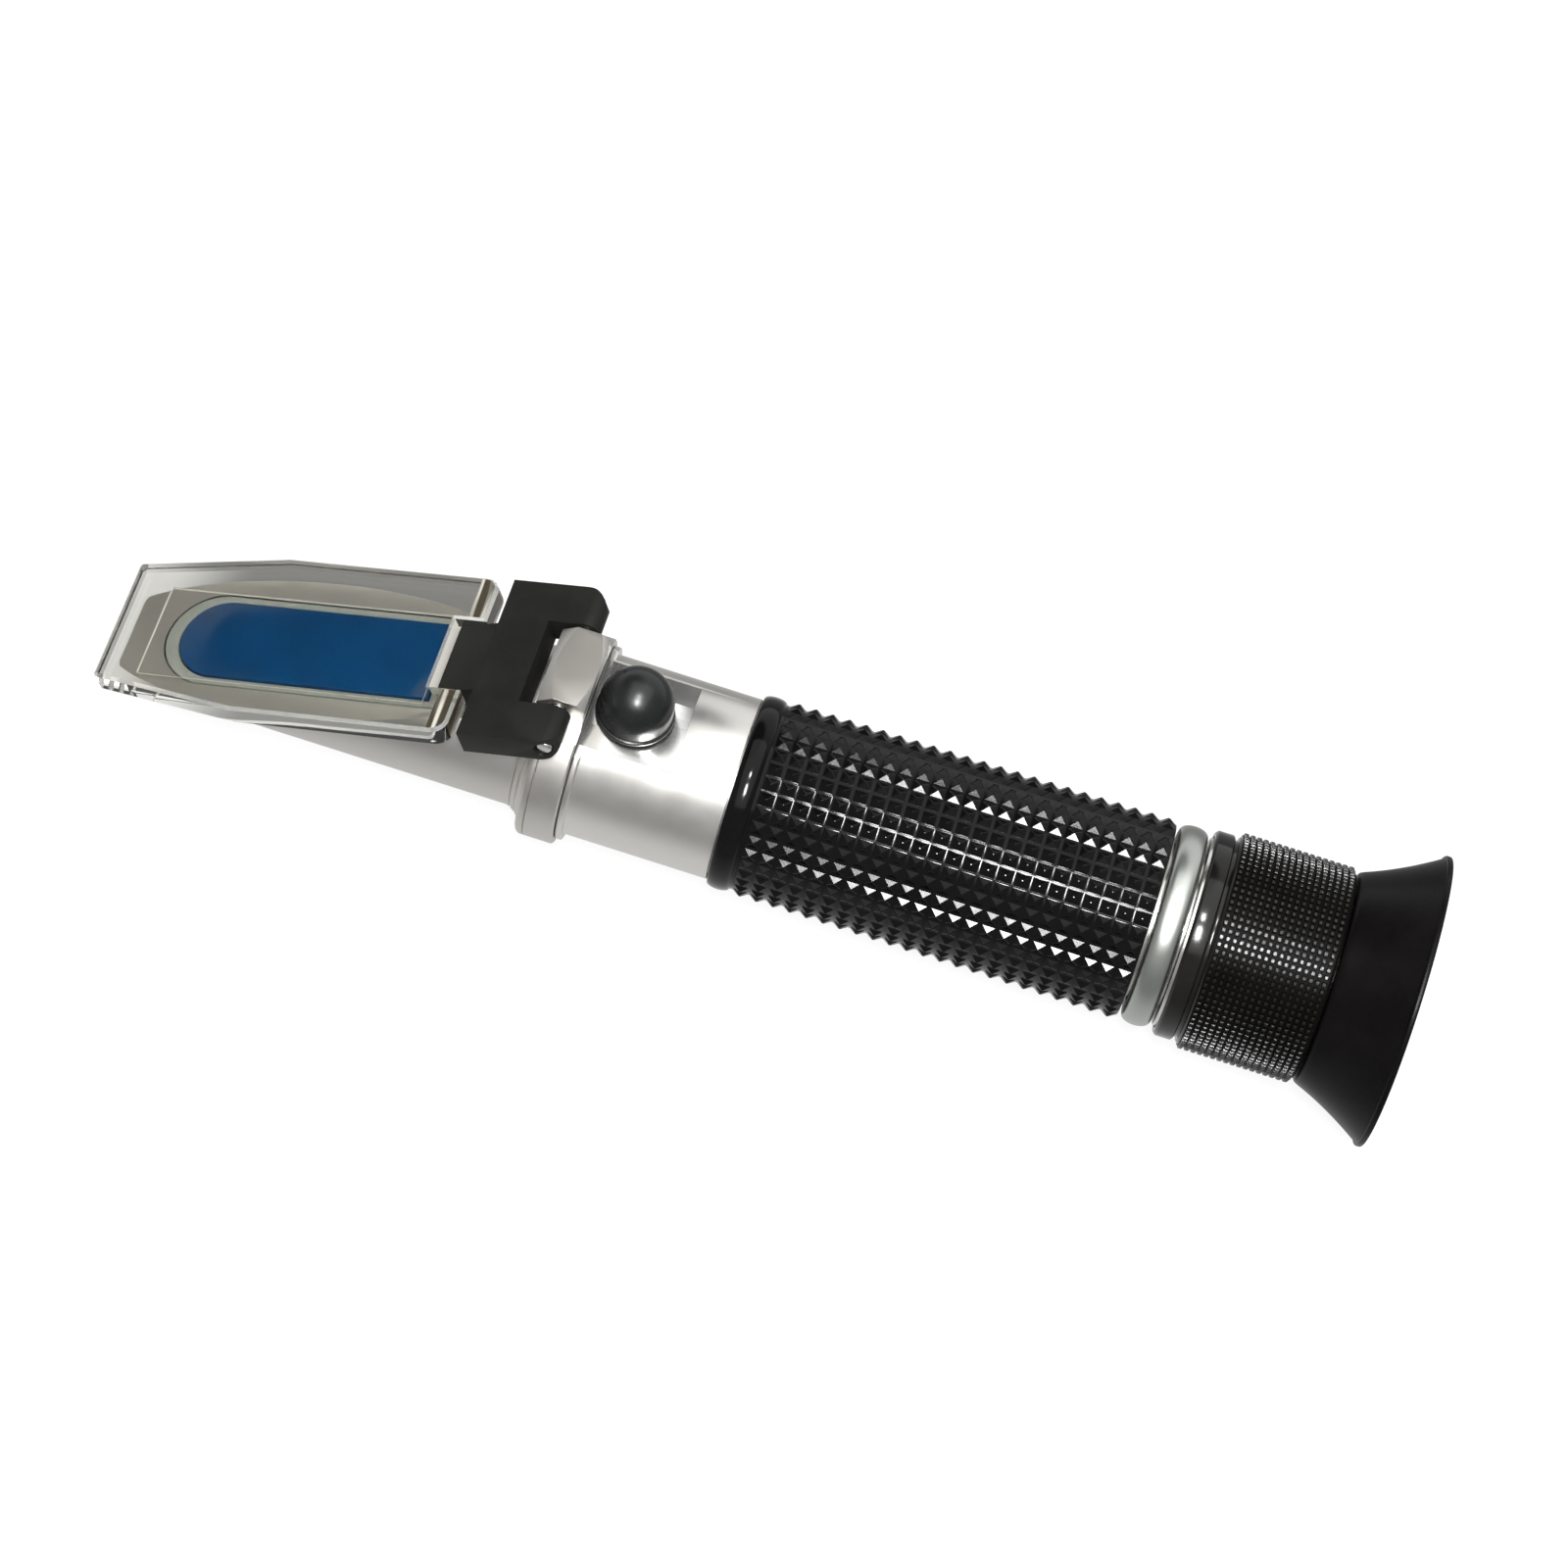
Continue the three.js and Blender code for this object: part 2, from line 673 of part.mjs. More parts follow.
// Rubber eyecup: a slightly hollow cone with a thin rim lip, gripping the spigot
function makeEyecup() {
  const front = knurlRear + clearance;
  const flareSteps = 5;
  const outer = [];
  const inner = [];
  const lipFront = eyecupRear - eyecup.lip;
  const floorRear = spigotRear - focusRing.rimLength - clearance;
  const flareShares = [0, 0.2, 0.4, 0.6, 0.8, 1];
  for (let i = 0; i <= flareSteps; i += 1) {
    const share = flareShares[i];
    const sink = eyecup.sink * 4 * share * (1 - share);
    const radius = eyecup.neckRadius + (eyecup.rimRadius - eyecup.lip / 2 - eyecup.neckRadius) * share - sink;
    outer.push([front + (lipFront - front) * share, radius]);
    const inside = floorRear + (eyecupRear - floorRear) * share;
    inner.unshift([inside, radius - eyecup.wall]);
  }
  const hole = floorHole + focusRing.spigotWall + clearance;
  return turnedX([
    [front, hole],
    ...outer,
    [lipFront, eyecup.rimRadius],
    [eyecupRear, eyecup.rimRadius],
    ...inner,
    [floorRear, hole],
  ], outerSteps);
}

// Eyepiece cell: slides in the eyepiece tube, with a slot for the guide pin
function makeEyeCell() {
  const stopBore = cellBore - eyeCell.stopWall;
  const flangeRadius = eyeTube.threadRadius - clearance;
  const body = toSolid(turnedX([
    [cellFront, stopBore],
    [cellFront, cellRadius],
    [cellFlangeFront, cellRadius],
    [cellFlangeFront, flangeRadius],
    [floorFront - clearance, flangeRadius],
    [floorFront - clearance, cellTailRadius],
    [cellRear, cellTailRadius],
    [cellRear, cellBore],
    [cellFront + eyeCell.frontStop, cellBore],
    [cellFront + eyeCell.frontStop, stopBore],
  ], innerSteps));
  const pinX0 = neckRear + guide.station;
  const reach = guide.radius + clearance;
  const slot = toSolid(block(
    pinX0 - reach - guide.slotRun,
    pinX0 + reach,
    -reach,
    reach,
    0,
    cellRadius + overrun,
  ));
  return body.subtract(slot);
}

const lensRadius = cellBore - contactGap;
const lensRingRadius = lensRadius - eyeCap.wall;
const fieldRise = faceRise(fieldLens.crown, lensRingRadius, lensRadius);
const eyeRise = faceRise(eyeLens.crown, lensRingRadius, lensRadius);
const fieldFront = cellFront + eyeCell.frontStop + contactGap + fieldRise;
const eyeCapFront = cellRear - eyeCap.sleeveLength;
const eyeLensFront = eyeCapFront - contactGap - eyeRise - eyeLens.edge;

function makeLensSpacer() {
  const from = fieldFront + fieldLens.edge + fieldRise + contactGap;
  const to = eyeLensFront - eyeRise - contactGap;
  return ringX(from, to, lensRingRadius, lensRadius, innerSteps);
}

// Screwed ring that holds the lenses and keeps the cell in the focusing ring
function makeEyeCap() {
  const inner = lensRingRadius;
  const flangeFront = spigotRear + clearance;
  return turnedX([
    [eyeCapFront, inner],
    [eyeCapFront, lensRadius],
    [cellRear, lensRadius],
    [flangeFront, lensRadius],
    [flangeFront, eyeCap.flangeRadius],
    [flangeFront + eyeCap.flangeLength, eyeCap.flangeRadius - eyeCap.flangeLength / 2],
    [flangeFront + eyeCap.flangeLength, inner + eyeCap.flangeLength / 2],
  ], innerSteps);
}

// Reticle parts inside the front of the eyepiece tube
const reticleFront = gripRear - eyeTube.sleeveLength + contactGap;
const reticleBore = eyeTube.bore - clearance - reticleParts.cellWall;
const glassFront = reticleFront + reticleParts.stopLength + contactGap;

function makeReticleCell() {
  const stopBore = reticleBore - reticleParts.cellWall;
  const rear = reticleFront + reticleParts.cellLength;
  return turnedX([
    [reticleFront, stopBore],
    [reticleFront, eyeTube.bore - clearance],
    [rear, eyeTube.bore - clearance],
    [rear, reticleBore],
    [reticleFront + reticleParts.stopLength, reticleBore],
    [reticleFront + reticleParts.stopLength, stopBore],
  ], innerSteps);
}

function makeReticle() {
  return rodX(glassFront, glassFront + reticleParts.glass, reticleBore - contactGap, innerSteps);
}

function makeReticleRing() {
  const from = glassFront + reticleParts.glass + contactGap;
  const outer = reticleBore - contactGap;
  return ringX(from, from + reticleParts.ring, outer - reticleParts.ringWall, outer, innerSteps);
}

function makeStop() {
  return ringX(stop.station, stop.station + stop.thickness, stop.aperture, barrel.bore - contactGap, innerSteps);
}

// Calibration parts: bush in the barrel wall, slotted screw, lens carriage and its spring
const flangeBottom = barrel.flatHeight + contactGap;
const bushTop = barrel.flatHeight + bush.height;
const carriageFront = cap.station - carriage.length / 2;
const carriageRear = cap.station + carriage.length / 2;
const carriageBore = carriage.radius - carriage.wall;

function makeBush() {
  const flangeRadius = cap.flangeRadius - cap.wall - clearance - contactGap;
  return turnedZ([
    [barrel.bore - clearance, bush.bore],
    [barrel.bore - clearance, bush.stemRadius],
    [flangeBottom, bush.stemRadius],
    [flangeBottom, flangeRadius],
    [flangeBottom + bush.flangeThickness, flangeRadius],
    [flangeBottom + bush.flangeThickness, bush.stemRadius],
    [bushTop, bush.stemRadius],
    [bushTop, bush.bore],
  ], smallSteps).translate(cap.station, 0, 0);
}

function makeScrew() {
  const top = bushTop - screw.headDrop;
  const rod = toSolid(rodZ(carriage.radius + screw.tipGap, top, bush.bore - contactGap, smallSteps));
  const slotHalf = screw.slotWidth / 2;
  const slot = toSolid(block(-bush.bore, bush.bore, -slotHalf, slotHalf, top - screw.slotDepth, top + overrun));
  return toGeometry(rod.subtract(slot)).translate(cap.station, 0, 0);
}

// Rubber cap: a dome on a short skirt, hollow over the bush
function makeCap() {
  const bottom = barrel.flatHeight + clearance;
  const centre = barrel.flatHeight + cap.domeRise;
  const dome = [];
  const hollow = [];
  const domeSteps = 5;
  const hollowRadius = cap.domeRadius - cap.wall;
  const hollowTop = bushTop + clearance;
  for (let i = 0; i <= domeSteps; i += 1) {
    const angle = (Math.PI * i) / (2 * domeSteps);
    dome.push([centre + cap.domeRadius * Math.sin(angle), cap.domeRadius * Math.cos(angle)]);
  }
  dome[domeSteps][1] = 0;
  hollow.push([hollowTop + cap.wall, 0], [hollowTop + cap.wall, hollowRadius - cap.wall], [hollowTop, hollowRadius]);
  return turnedZ([
    [bottom, hollowRadius],
    [bottom, cap.flangeRadius],
    [bottom + cap.flangeHeight, cap.flangeRadius],
    [bottom + cap.flangeHeight, cap.domeRadius],
    ...dome,
    ...hollow,
  ], innerSteps).translate(cap.station, 0, 0);
}

function makeCarriage() {
  return turnedX([
    [carriageFront, carriageBore - carriage.lip],
    [carriageFront, carriage.radius],
    [carriageRear, carriage.radius],
    [carriageRear, carriageBore],
    [carriageFront + carriage.shoulder, carriageBore],
    [carriageFront + carriage.shoulder, carriageBore - carriage.lip],
  ], innerSteps);
}

const objectiveFront = carriageFront + carriage.shoulder + contactGap;

function makeObjective() {
  return lensX(objectiveFront, objective.edge, objective.crown, carriageBore - contactGap);
}

function makeObjectiveRing() {
  const outer = carriageBore - contactGap;
  const rise = faceRise(objective.crown, outer - carriage.lip, outer);
  const from = objectiveFront + objective.edge + rise + contactGap;
  return ringX(from, carriageRear - contactGap, outer - carriage.lip, outer, innerSteps);
}

// Bowed leaf spring that presses the carriage against the screw
function makeSpring() {
  const half = spring.length / 2;
  const shape = new THREE.Shape();
  shape.moveTo(-half, 0);
  shape.quadraticCurveTo(0, 2 * spring.bow, half, 0);
  shape.lineTo(half, spring.thickness);
  shape.quadraticCurveTo(0, spring.thickness + 2 * spring.bow, -half, spring.thickness);
  shape.closePath();
  const strip = slab(shape, -spring.width / 2, spring.width / 2).rotateX(Math.PI / 2);
  const edge = Math.sqrt(barrel.bore ** 2 - (spring.width / 2) ** 2);
  return strip.translate(cap.station, 0, -edge + runningFit);
}

// Materials
function finish(color, roughness, metalness, extra = {}) {
  return () => new THREE.MeshStandardMaterial({ color, roughness, metalness, ...extra });
}

const satinAluminium = finish(0xcfd0ce, 0.34, 1);
const greySatin = finish(0xb4bab2, 0.3, 1);
const steel = finish(0xb9b9b6, 0.25, 1);
const brass = finish(0xc2a25a, 0.35, 1);
const blackPlastic = finish(0x232322, 0.45, 0);
const blackRubber = finish(0x17181a, 0.6, 0);
const capRubber = finish(0x2b3030, 0.42, 0);
const blackMetal = finish(0x131415, 0.5, 0.6);
const greySealant = finish(0x8e9088, 0.7, 0);
const clearPlastic = finish(0xe9ece6, 0.08, 0, { transparent: true, opacity: 0.35 });
const blueGlass = finish(0x123e6e, 0.08, 0);
const lensGlass = finish(0xdfe8ea, 0.03, 0, { transparent: true, opacity: 0.45 });

// Scene graph
function addPiece(group, name, shape, material) {
  const geometry = shape.isBufferGeometry ? toGeometry(toSolid(shape)) : toGeometry(shape);
  const mesh = new THREE.Mesh(geometry, material());
  mesh.name = name;
  group.add(mesh);
  return mesh;
}

const refractometer = new THREE.Group();
const middle = (eyecupRear + coverFront()) / 2;
refractometer.position.set(-middle, 0, eyecup.rimRadius);

function coverFront() {
  return pinX - plate.reach * Math.cos(tilt) - coverTop * Math.sin(tilt);
}

const coverGroup = new THREE.Group();
coverGroup.position.set(pinX, 0, pinHeight);
coverGroup.rotation.y = -tilt;
refractometer.add(coverGroup);

addPiece(refractometer, 'prism_seat', makePrismSeat(), satinAluminium);
addPiece(refractometer, 'measuring_prism', makePrism(), blueGlass);
addPiece(refractometer, 'prism_gasket', makeGasket(), greySealant);
addPiece(refractometer, 'hinge_pin', makeHingePin(), steel).position.set(pinX, 0, pinHeight);
addPiece(coverGroup, 'cover_plate', makePlate(), clearPlastic);
addPiece(coverGroup, 'cover_holder', makeHolder(), blackPlastic);
addPiece(refractometer, 'seat_seal', makeSeal(), blackRubber);
addPiece(refractometer, 'barrel_tube', makeBarrel(), satinAluminium);
addPiece(refractometer, 'calibration_bush', makeBush(), brass);
addPiece(refractometer, 'calibration_screw', makeScrew(), brass);
addPiece(refractometer, 'calibration_cap', makeCap(), capRubber);
addPiece(refractometer, 'lens_carriage', makeCarriage(), blackMetal);
addPiece(refractometer, 'objective_lens', makeObjective(), lensGlass);
addPiece(refractometer, 'objective_ring', makeObjectiveRing(), blackMetal);
addPiece(refractometer, 'carriage_spring', makeSpring(), steel);
addPiece(refractometer, 'glare_stop', makeStop(), blackMetal);
addPiece(refractometer, 'grip_sleeve', makeGrip(), blackRubber);
addPiece(refractometer, 'end_ring', makeEndRing(), greySatin);
addPiece(refractometer, 'eyepiece_tube', makeEyeTube(), satinAluminium);
addPiece(refractometer, 'focus_o_ring', makeORing(), blackRubber);
addPiece(refractometer, 'guide_pin', makeGuidePin(), steel);
addPiece(refractometer, 'reticle_cell', makeReticleCell(), blackMetal);
addPiece(refractometer, 'reticle', makeReticle(), lensGlass);
addPiece(refractometer, 'reticle_ring', makeReticleRing(), blackMetal);
addPiece(refractometer, 'focusing_ring', makeFocusRing(), blackPlastic);
addPiece(refractometer, 'eyecup', makeEyecup(), blackRubber);
addPiece(refractometer, 'eyepiece_cell', makeEyeCell(), blackMetal);
addPiece(refractometer, 'field_lens', lensX(fieldFront, fieldLens.edge, fieldLens.crown, lensRadius), lensGlass);
addPiece(refractometer, 'lens_spacer', makeLensSpacer(), blackMetal);
addPiece(refractometer, 'eye_lens', lensX(eyeLensFront, eyeLens.edge, eyeLens.crown, lensRadius), lensGlass);
addPiece(refractometer, 'eyepiece_cap', makeEyeCap(), blackPlastic);

export default refractometer;
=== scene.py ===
import math
import bpy
from mathutils import Matrix, Vector


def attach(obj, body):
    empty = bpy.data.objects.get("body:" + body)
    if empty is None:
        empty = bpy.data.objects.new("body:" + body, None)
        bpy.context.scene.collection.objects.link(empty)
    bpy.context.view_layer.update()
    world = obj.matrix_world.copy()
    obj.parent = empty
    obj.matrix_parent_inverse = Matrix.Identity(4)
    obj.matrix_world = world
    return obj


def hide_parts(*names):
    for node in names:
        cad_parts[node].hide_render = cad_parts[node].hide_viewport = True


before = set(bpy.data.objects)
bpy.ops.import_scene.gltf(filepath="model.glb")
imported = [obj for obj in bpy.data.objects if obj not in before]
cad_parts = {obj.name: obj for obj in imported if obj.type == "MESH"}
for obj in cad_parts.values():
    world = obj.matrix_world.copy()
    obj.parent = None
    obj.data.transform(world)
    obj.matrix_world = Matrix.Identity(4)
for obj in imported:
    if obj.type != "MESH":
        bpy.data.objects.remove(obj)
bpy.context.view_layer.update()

mm = 0.001
weldReach, cutReach = 1e-6, 1e-7
touch = 0.01  # how near counts as on a plane, in mm

# Where the pieces sit, in millimetres: x from the joint of seat and barrel, z from the optical axis
layout = {'joint': -22.6615, 'axisHeight': 18.9, 'pinX': -3.4, 'pinZ': 14.4, 'tilt': 20.7}
origin = Vector((layout['joint'] * mm, 0, layout['axisHeight'] * mm))
pinPlace = origin + Vector((layout['pinX'] * mm, 0, layout['pinZ'] * mm))
axisMatrix = Matrix.Translation(origin)
slopeMatrix = Matrix.Translation(pinPlace) @ Matrix.Rotation(-math.radians(layout['tilt']), 4, 'Y')
ownMatrix = Matrix()  # for what is shaped first and put on the slope afterwards
lineOf = {'x': Vector((1, 0, 0)), 'y': Vector((0, 1, 0)), 'z': Vector((0, 0, 1))}
turnTo = {'x': (0, math.pi / 2, 0), 'y': (math.pi / 2, 0, 0), 'z': (0, 0, 0)}


# Modelling helpers

def deselectAll():
    if bpy.context.object and bpy.context.object.mode != 'OBJECT':
        bpy.ops.object.mode_set(mode='OBJECT')
    bpy.ops.object.select_all(action='DESELECT')


def selectOnly(obj):
    deselectAll()
    obj.select_set(True)
    bpy.context.view_layer.objects.active = obj


def editOn(obj):
    selectOnly(obj)
    bpy.ops.object.mode_set(mode='EDIT')


def editOff():
    bpy.ops.object.mode_set(mode='OBJECT')


def settle(obj, name=None):
    # the place goes into the mesh, the object stays at the origin
    selectOnly(obj)
    bpy.ops.object.transform_apply(location=True, rotation=True, scale=True)
    if name:
        obj.name = name
        obj.data.name = name
    return obj


def moved(obj, matrix):
    obj.matrix_world = matrix
    return settle(obj)


def turn(name, profile, steps, centre=origin, axis='x', closed=True):
    # profile is [(place, radius), ...] in mm; an open one ends on the axis and starts with a flat disc
    deselectAll()
    line = lineOf[axis]
    place, radius = profile[0]
    bpy.ops.mesh.primitive_circle_add(vertices=steps, radius=radius * mm, fill_type='NOTHING',
                                      location=centre + line * place * mm, rotation=turnTo[axis])
    obj = settle(bpy.context.active_object, name)
    editOn(obj)
    bpy.ops.mesh.select_mode(type='VERT')
    bpy.ops.mesh.select_all(action='SELECT')
    for nextPlace, nextRadius in profile[1:] + (profile[:1] if closed else []):
        bpy.ops.mesh.extrude_region_move(
            TRANSFORM_OT_translate={'value': line * (nextPlace - place) * mm})
        if nextRadius != radius:
            share = nextRadius / radius
            size = [1 if line[k] else share for k in range(3)]
            bpy.ops.transform.resize(value=size, center_override=centre + line * nextPlace * mm)
        place, radius = nextPlace, nextRadius
    if not closed:
        bpy.ops.mesh.select_all(action='SELECT')
        bpy.ops.mesh.remove_doubles(threshold=weldReach)
        bpy.ops.mesh.select_all(action='DESELECT')
        bpy.ops.mesh.select_non_manifold()
        bpy.ops.mesh.edge_face_add()
    bpy.ops.mesh.select_all(action='SELECT')
    bpy.ops.mesh.remove_doubles(threshold=weldReach)
    bpy.ops.mesh.normals_make_consistent(inside=False)
    editOff()
    return obj


def arc(place, radius, around, fromDegrees, toDegrees, count):
    # profile points on a round corner
    turns = [math.radians(fromDegrees + (toDegrees - fromDegrees) * i / count) for i in range(count + 1)]
    return [(place + around * math.cos(a), radius + around * math.sin(a)) for a in turns]


def block(name, low, high, matrix=axisMatrix):
    # low and high corners in mm, from the origin of the matrix
    deselectAll()
    middle = [(a + b) / 2 * mm for a, b in zip(low, high)]
    bpy.ops.mesh.primitive_cube_add(size=1, location=middle)
    obj = bpy.context.active_object
    obj.scale = [(b - a) * mm for a, b in zip(low, high)]
    settle(obj, name)
    return moved(obj, matrix)


def rod(name, radius, low, high, steps, axis, place, matrix=axisMatrix):
    # a straight cylinder between two places on its axis, in mm
    deselectAll()
    middle = Vector(place) * mm + lineOf[axis] * (low + high) / 2 * mm
    bpy.ops.mesh.primitive_cylinder_add(vertices=steps, radius=radius * mm, depth=(high - low) * mm,
                                        location=middle, rotation=turnTo[axis])
    obj = settle(bpy.context.active_object, name)
    return moved(obj, matrix)


def trim(place, normal):
    # cuts off all that lies on the side the normal points to, and closes the cut
    bpy.ops.mesh.select_all(action='SELECT')
    bpy.ops.mesh.bisect(plane_co=place, plane_no=Vector(normal).normalized(), use_fill=True, clear_outer=True,
                        threshold=cutReach)


def applyModifier(obj, kind, **settings):
    selectOnly(obj)
    modifier = obj.modifiers.new(kind.lower(), kind)
    for key, value in settings.items():
        setattr(modifier, key, value)
    bpy.ops.object.modifier_apply(modifier=modifier.name)


def carve(obj, *tools, operation='DIFFERENCE'):
    for tool in tools:
        applyModifier(obj, 'BOOLEAN', operation=operation, solver='EXACT', object=tool)
        mesh = tool.data
        bpy.data.objects.remove(tool)
        bpy.data.meshes.remove(mesh)


def soften(obj, width, segments=2, angle=30):
    applyModifier(obj, 'BEVEL', width=width * mm, segments=segments, limit_method='ANGLE',
                  angle_limit=math.radians(angle), use_clamp_overlap=True)


def bevelChosen(width, segments):
    # the edges chosen in edit mode
    bpy.ops.mesh.bevel(offset=width * mm, segments=segments, affect='EDGES')
    editOff()


def smooth(obj, angle=32):
    selectOnly(obj)
    bpy.ops.object.shade_smooth_by_angle(angle=math.radians(angle))


def merge(obj, other):
    selectOnly(obj)
    other.select_set(True)
    bpy.ops.object.join()


def chooseFaces(obj, test):
    # faces are chosen in object mode by the place of their middle, in mm from the origin, and their normal
    editOn(obj)
    bpy.ops.mesh.select_all(action='DESELECT')
    bpy.ops.mesh.select_mode(type='FACE')
    editOff()
    for face in obj.data.polygons:
        face.select = test((face.center - origin) / mm, face.normal)
    bpy.ops.object.mode_set(mode='EDIT')


def chooseEdges(obj, test):
    # edges are chosen by their two ends, in mm
    editOn(obj)
    bpy.ops.mesh.select_all(action='DESELECT')
    bpy.ops.mesh.select_mode(type='EDGE')
    editOff()
    for edge in obj.data.edges:
        a, b = (obj.data.vertices[i].co / mm for i in edge.vertices)
        edge.select = test(a, b)
    bpy.ops.object.mode_set(mode='EDIT')


def paint(obj, materials, choose, place=origin):
    # choose gives the number of a face's material from its middle, in mm from place, and its normal
    for material in materials:
        obj.data.materials.append(material)
    for face in obj.data.polygons:
        face.material_index = int(choose((face.center - place) / mm, face.normal))


def finishPiece(obj, body, slotName, *nodes, material=None):
    # a painted piece already has its materials
    if material:
        obj.data.materials.append(material)
    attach(obj, body)
    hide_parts(*nodes)


# Material helpers

class Value:
    # a socket that can be used in sums
    def __init__(self, sheet, socket):
        self.sheet = sheet
        self.socket = socket

    def __add__(self, other):
        return self.sheet.maths('ADD', self, other)

    def __radd__(self, other):
        return self.sheet.maths('ADD', other, self)

    def __sub__(self, other):
        return self.sheet.maths('SUBTRACT', self, other)

    def __rsub__(self, other):
        return self.sheet.maths('SUBTRACT', other, self)

    def __mul__(self, other):
        return self.sheet.maths('MULTIPLY', self, other)

    def __rmul__(self, other):
        return self.sheet.maths('MULTIPLY', other, self)


class Sheet:
    # the node sheet of one material, or of the world
    def __init__(self, name, world=False):
        self.owner = (bpy.data.worlds if world else bpy.data.materials).new(name)
        self.owner.use_nodes = True
        self.tree = self.owner.node_tree
        self.tree.nodes.clear()
        self.shader = self.tree.nodes.new('ShaderNodeBackground' if world else 'ShaderNodeBsdfPrincipled')
        self.output = self.tree.nodes.new('ShaderNodeOutputWorld' if world else 'ShaderNodeOutputMaterial')
        self.tree.links.new(self.shader.outputs[0], self.output.inputs['Surface'])

    def give(self, socket, value):
        if isinstance(value, Value):
            self.tree.links.new(value.socket, socket)
        else:
            socket.default_value = value

    def node(self, kind, settings=None, inputs=None, result=0):
        made = self.tree.nodes.new(kind)
        for key, value in (settings or {}).items():
            setattr(made, key, value)
        for key, value in (inputs or {}).items():
            self.give(made.inputs[key], value)
        return Value(self, made.outputs[result])

    def maths(self, operation, a, b, clamp=False):
        return self.node('ShaderNodeMath', {'operation': operation, 'use_clamp': clamp}, {0: a, 1: b})

    def ramp(self, value, low, high):
        # 0 below low, 1 above high
        return self.node('ShaderNodeMapRange', {'interpolation_type': 'SMOOTHSTEP'},
                         {'Value': value, 'From Min': low, 'From Max': high})

    def mix(self, share, a, b):
        # sockets 6 and 7 take the colors, output 2 gives the mixed one
        a, b = ((*value, 1) if isinstance(value, tuple) else value for value in (a, b))
        return self.node('ShaderNodeMix', {'data_type': 'RGBA'}, {0: share, 6: a, 7: b}, 2)

    def blend(self, share, a, b):
        return self.node('ShaderNodeMixShader', None, {0: share, 1: a, 2: b})

    def place(self, scale=(1, 1, 1)):
        # object coordinates, measured from the optical axis, stretched by scale
        coords = self.node('ShaderNodeTexCoord', result='Object')
        shift = tuple(-o * s for o, s in zip(origin, scale))
        return self.node('ShaderNodeMapping', None, {'Vector': coords, 'Scale': scale, 'Location': shift})

    def noise(self, vector, scale, detail, roughness):
        return self.node('ShaderNodeTexNoise', None, {
            'Vector': vector, 'Scale': scale, 'Detail': detail, 'Roughness': roughness})

    def bump(self, height, strength, distance):
        return self.node('ShaderNodeBump', None, {
            'Height': height, 'Strength': strength, 'Distance': distance})

    def finish(self, **inputs):
        names = {'color': 'Base Color', 'rough': 'Roughness', 'metal': 'Metallic', 'normal': 'Normal',
                 'ior': 'IOR', 'glass': 'Transmission Weight', 'specular': 'Specular IOR Level',
                 'coat': 'Coat Weight', 'coatRough': 'Coat Roughness'}
        for key, value in inputs.items():
            if key == 'color' and isinstance(value, tuple):
                value = (*value, 1)
            self.give(self.shader.inputs[names[key]], value)
        return self.owner


# Finishes

metalColor = {'satin': (0.64, 0.63, 0.60), 'seat': (0.55, 0.535, 0.505), 'lug': (0.24, 0.232, 0.213),
              'milled': (0.93, 0.925, 0.905), 'grey': (0.41, 0.425, 0.40), 'steel': (0.60, 0.60, 0.58),
              'brass': (0.72, 0.55, 0.27)}
metalLook = {'marksAcross': 5200, 'marksAlong': 260, 'cloudSize': 160, 'glossChange': 0.05, 'paleness': 0.95,
             'grainSize': 3200, 'depth': 0.000015}
mouldingColor = {'metal': (0.022, 0.022, 0.024), 'holder': (0.006, 0.006, 0.0052), 'ring': (0.003, 0.0027, 0.0024),
                 'knurl': (0.0014, 0.0012, 0.001), 'grip': (0.0016, 0.0015, 0.0015),
                 'cup': (0.0016, 0.0013, 0.0013), 'cap': (0.004, 0.0045, 0.0045), 'seal': (0.008, 0.008, 0.008)}
mouldingLook = {'cloudSize': 120, 'patchGloss': 0.08, 'grainGloss': 0.06, 'patchShade': 0.6, 'grainShade': 0.2,
                'lift': 1.5, 'liftLeast': 0.001, 'depth': 0.00004}
# the tab ends' dark stripe colour is saw lines plus a painted reflection of the dark holder
acrylicLook = {'ior': 1.49, 'clear': (0.85, 0.845, 0.80), 'edge': (0.78, 0.77, 0.72), 'edgeGlass': 0.93,
               'sawnDark': (0.66, 0.63, 0.56), 'sawnPale': (0.86, 0.84, 0.78), 'sawnGlass': 0.35,
               'sawLineAndPaintedHolderDark': (0.04, 0.032, 0.022), 'stripePale': (0.52, 0.50, 0.44)}
prismLook = {'ior': 1.5, 'deep': (0.001, 0.042, 0.135), 'pale': (0.002, 0.053, 0.17), 'specular': 0.4}
sealantLook = {'dark': (0.27, 0.292, 0.275), 'pale': (0.40, 0.42, 0.395), 'rough': 0.5}
lensLook = {'ior': 1.52, 'color': (0.93, 0.96, 0.95), 'coat': 0.4, 'coatRough': 0.02}


def turnedMetal(name, color, rough, lines, along='x', grain=0.0):
    # fine tool marks run round the turned axis, with a faint cloudy change of gloss
    sheet, s = Sheet(name), metalLook
    scale = tuple(s['marksAcross'] if k == along else s['marksAlong'] for k in 'xyz')
    marks = sheet.noise(sheet.place(scale), 1, 2, 0.6)
    cloud = sheet.noise(sheet.place(), s['cloudSize'], 3, 0.55)
    gloss = rough + s['glossChange'] * sheet.ramp(cloud, 0.35, 0.7) + s['glossChange'] * marks - s['glossChange']
    pale = sheet.mix(sheet.ramp(cloud, 0.2, 0.8), tuple(c * s['paleness'] for c in color), color)
    height = marks + grain * sheet.noise(sheet.place(), s['grainSize'], 2, 0.6)
    return sheet.finish(color=pale, metal=1.0, rough=gloss, normal=sheet.bump(height, lines, s['depth']))


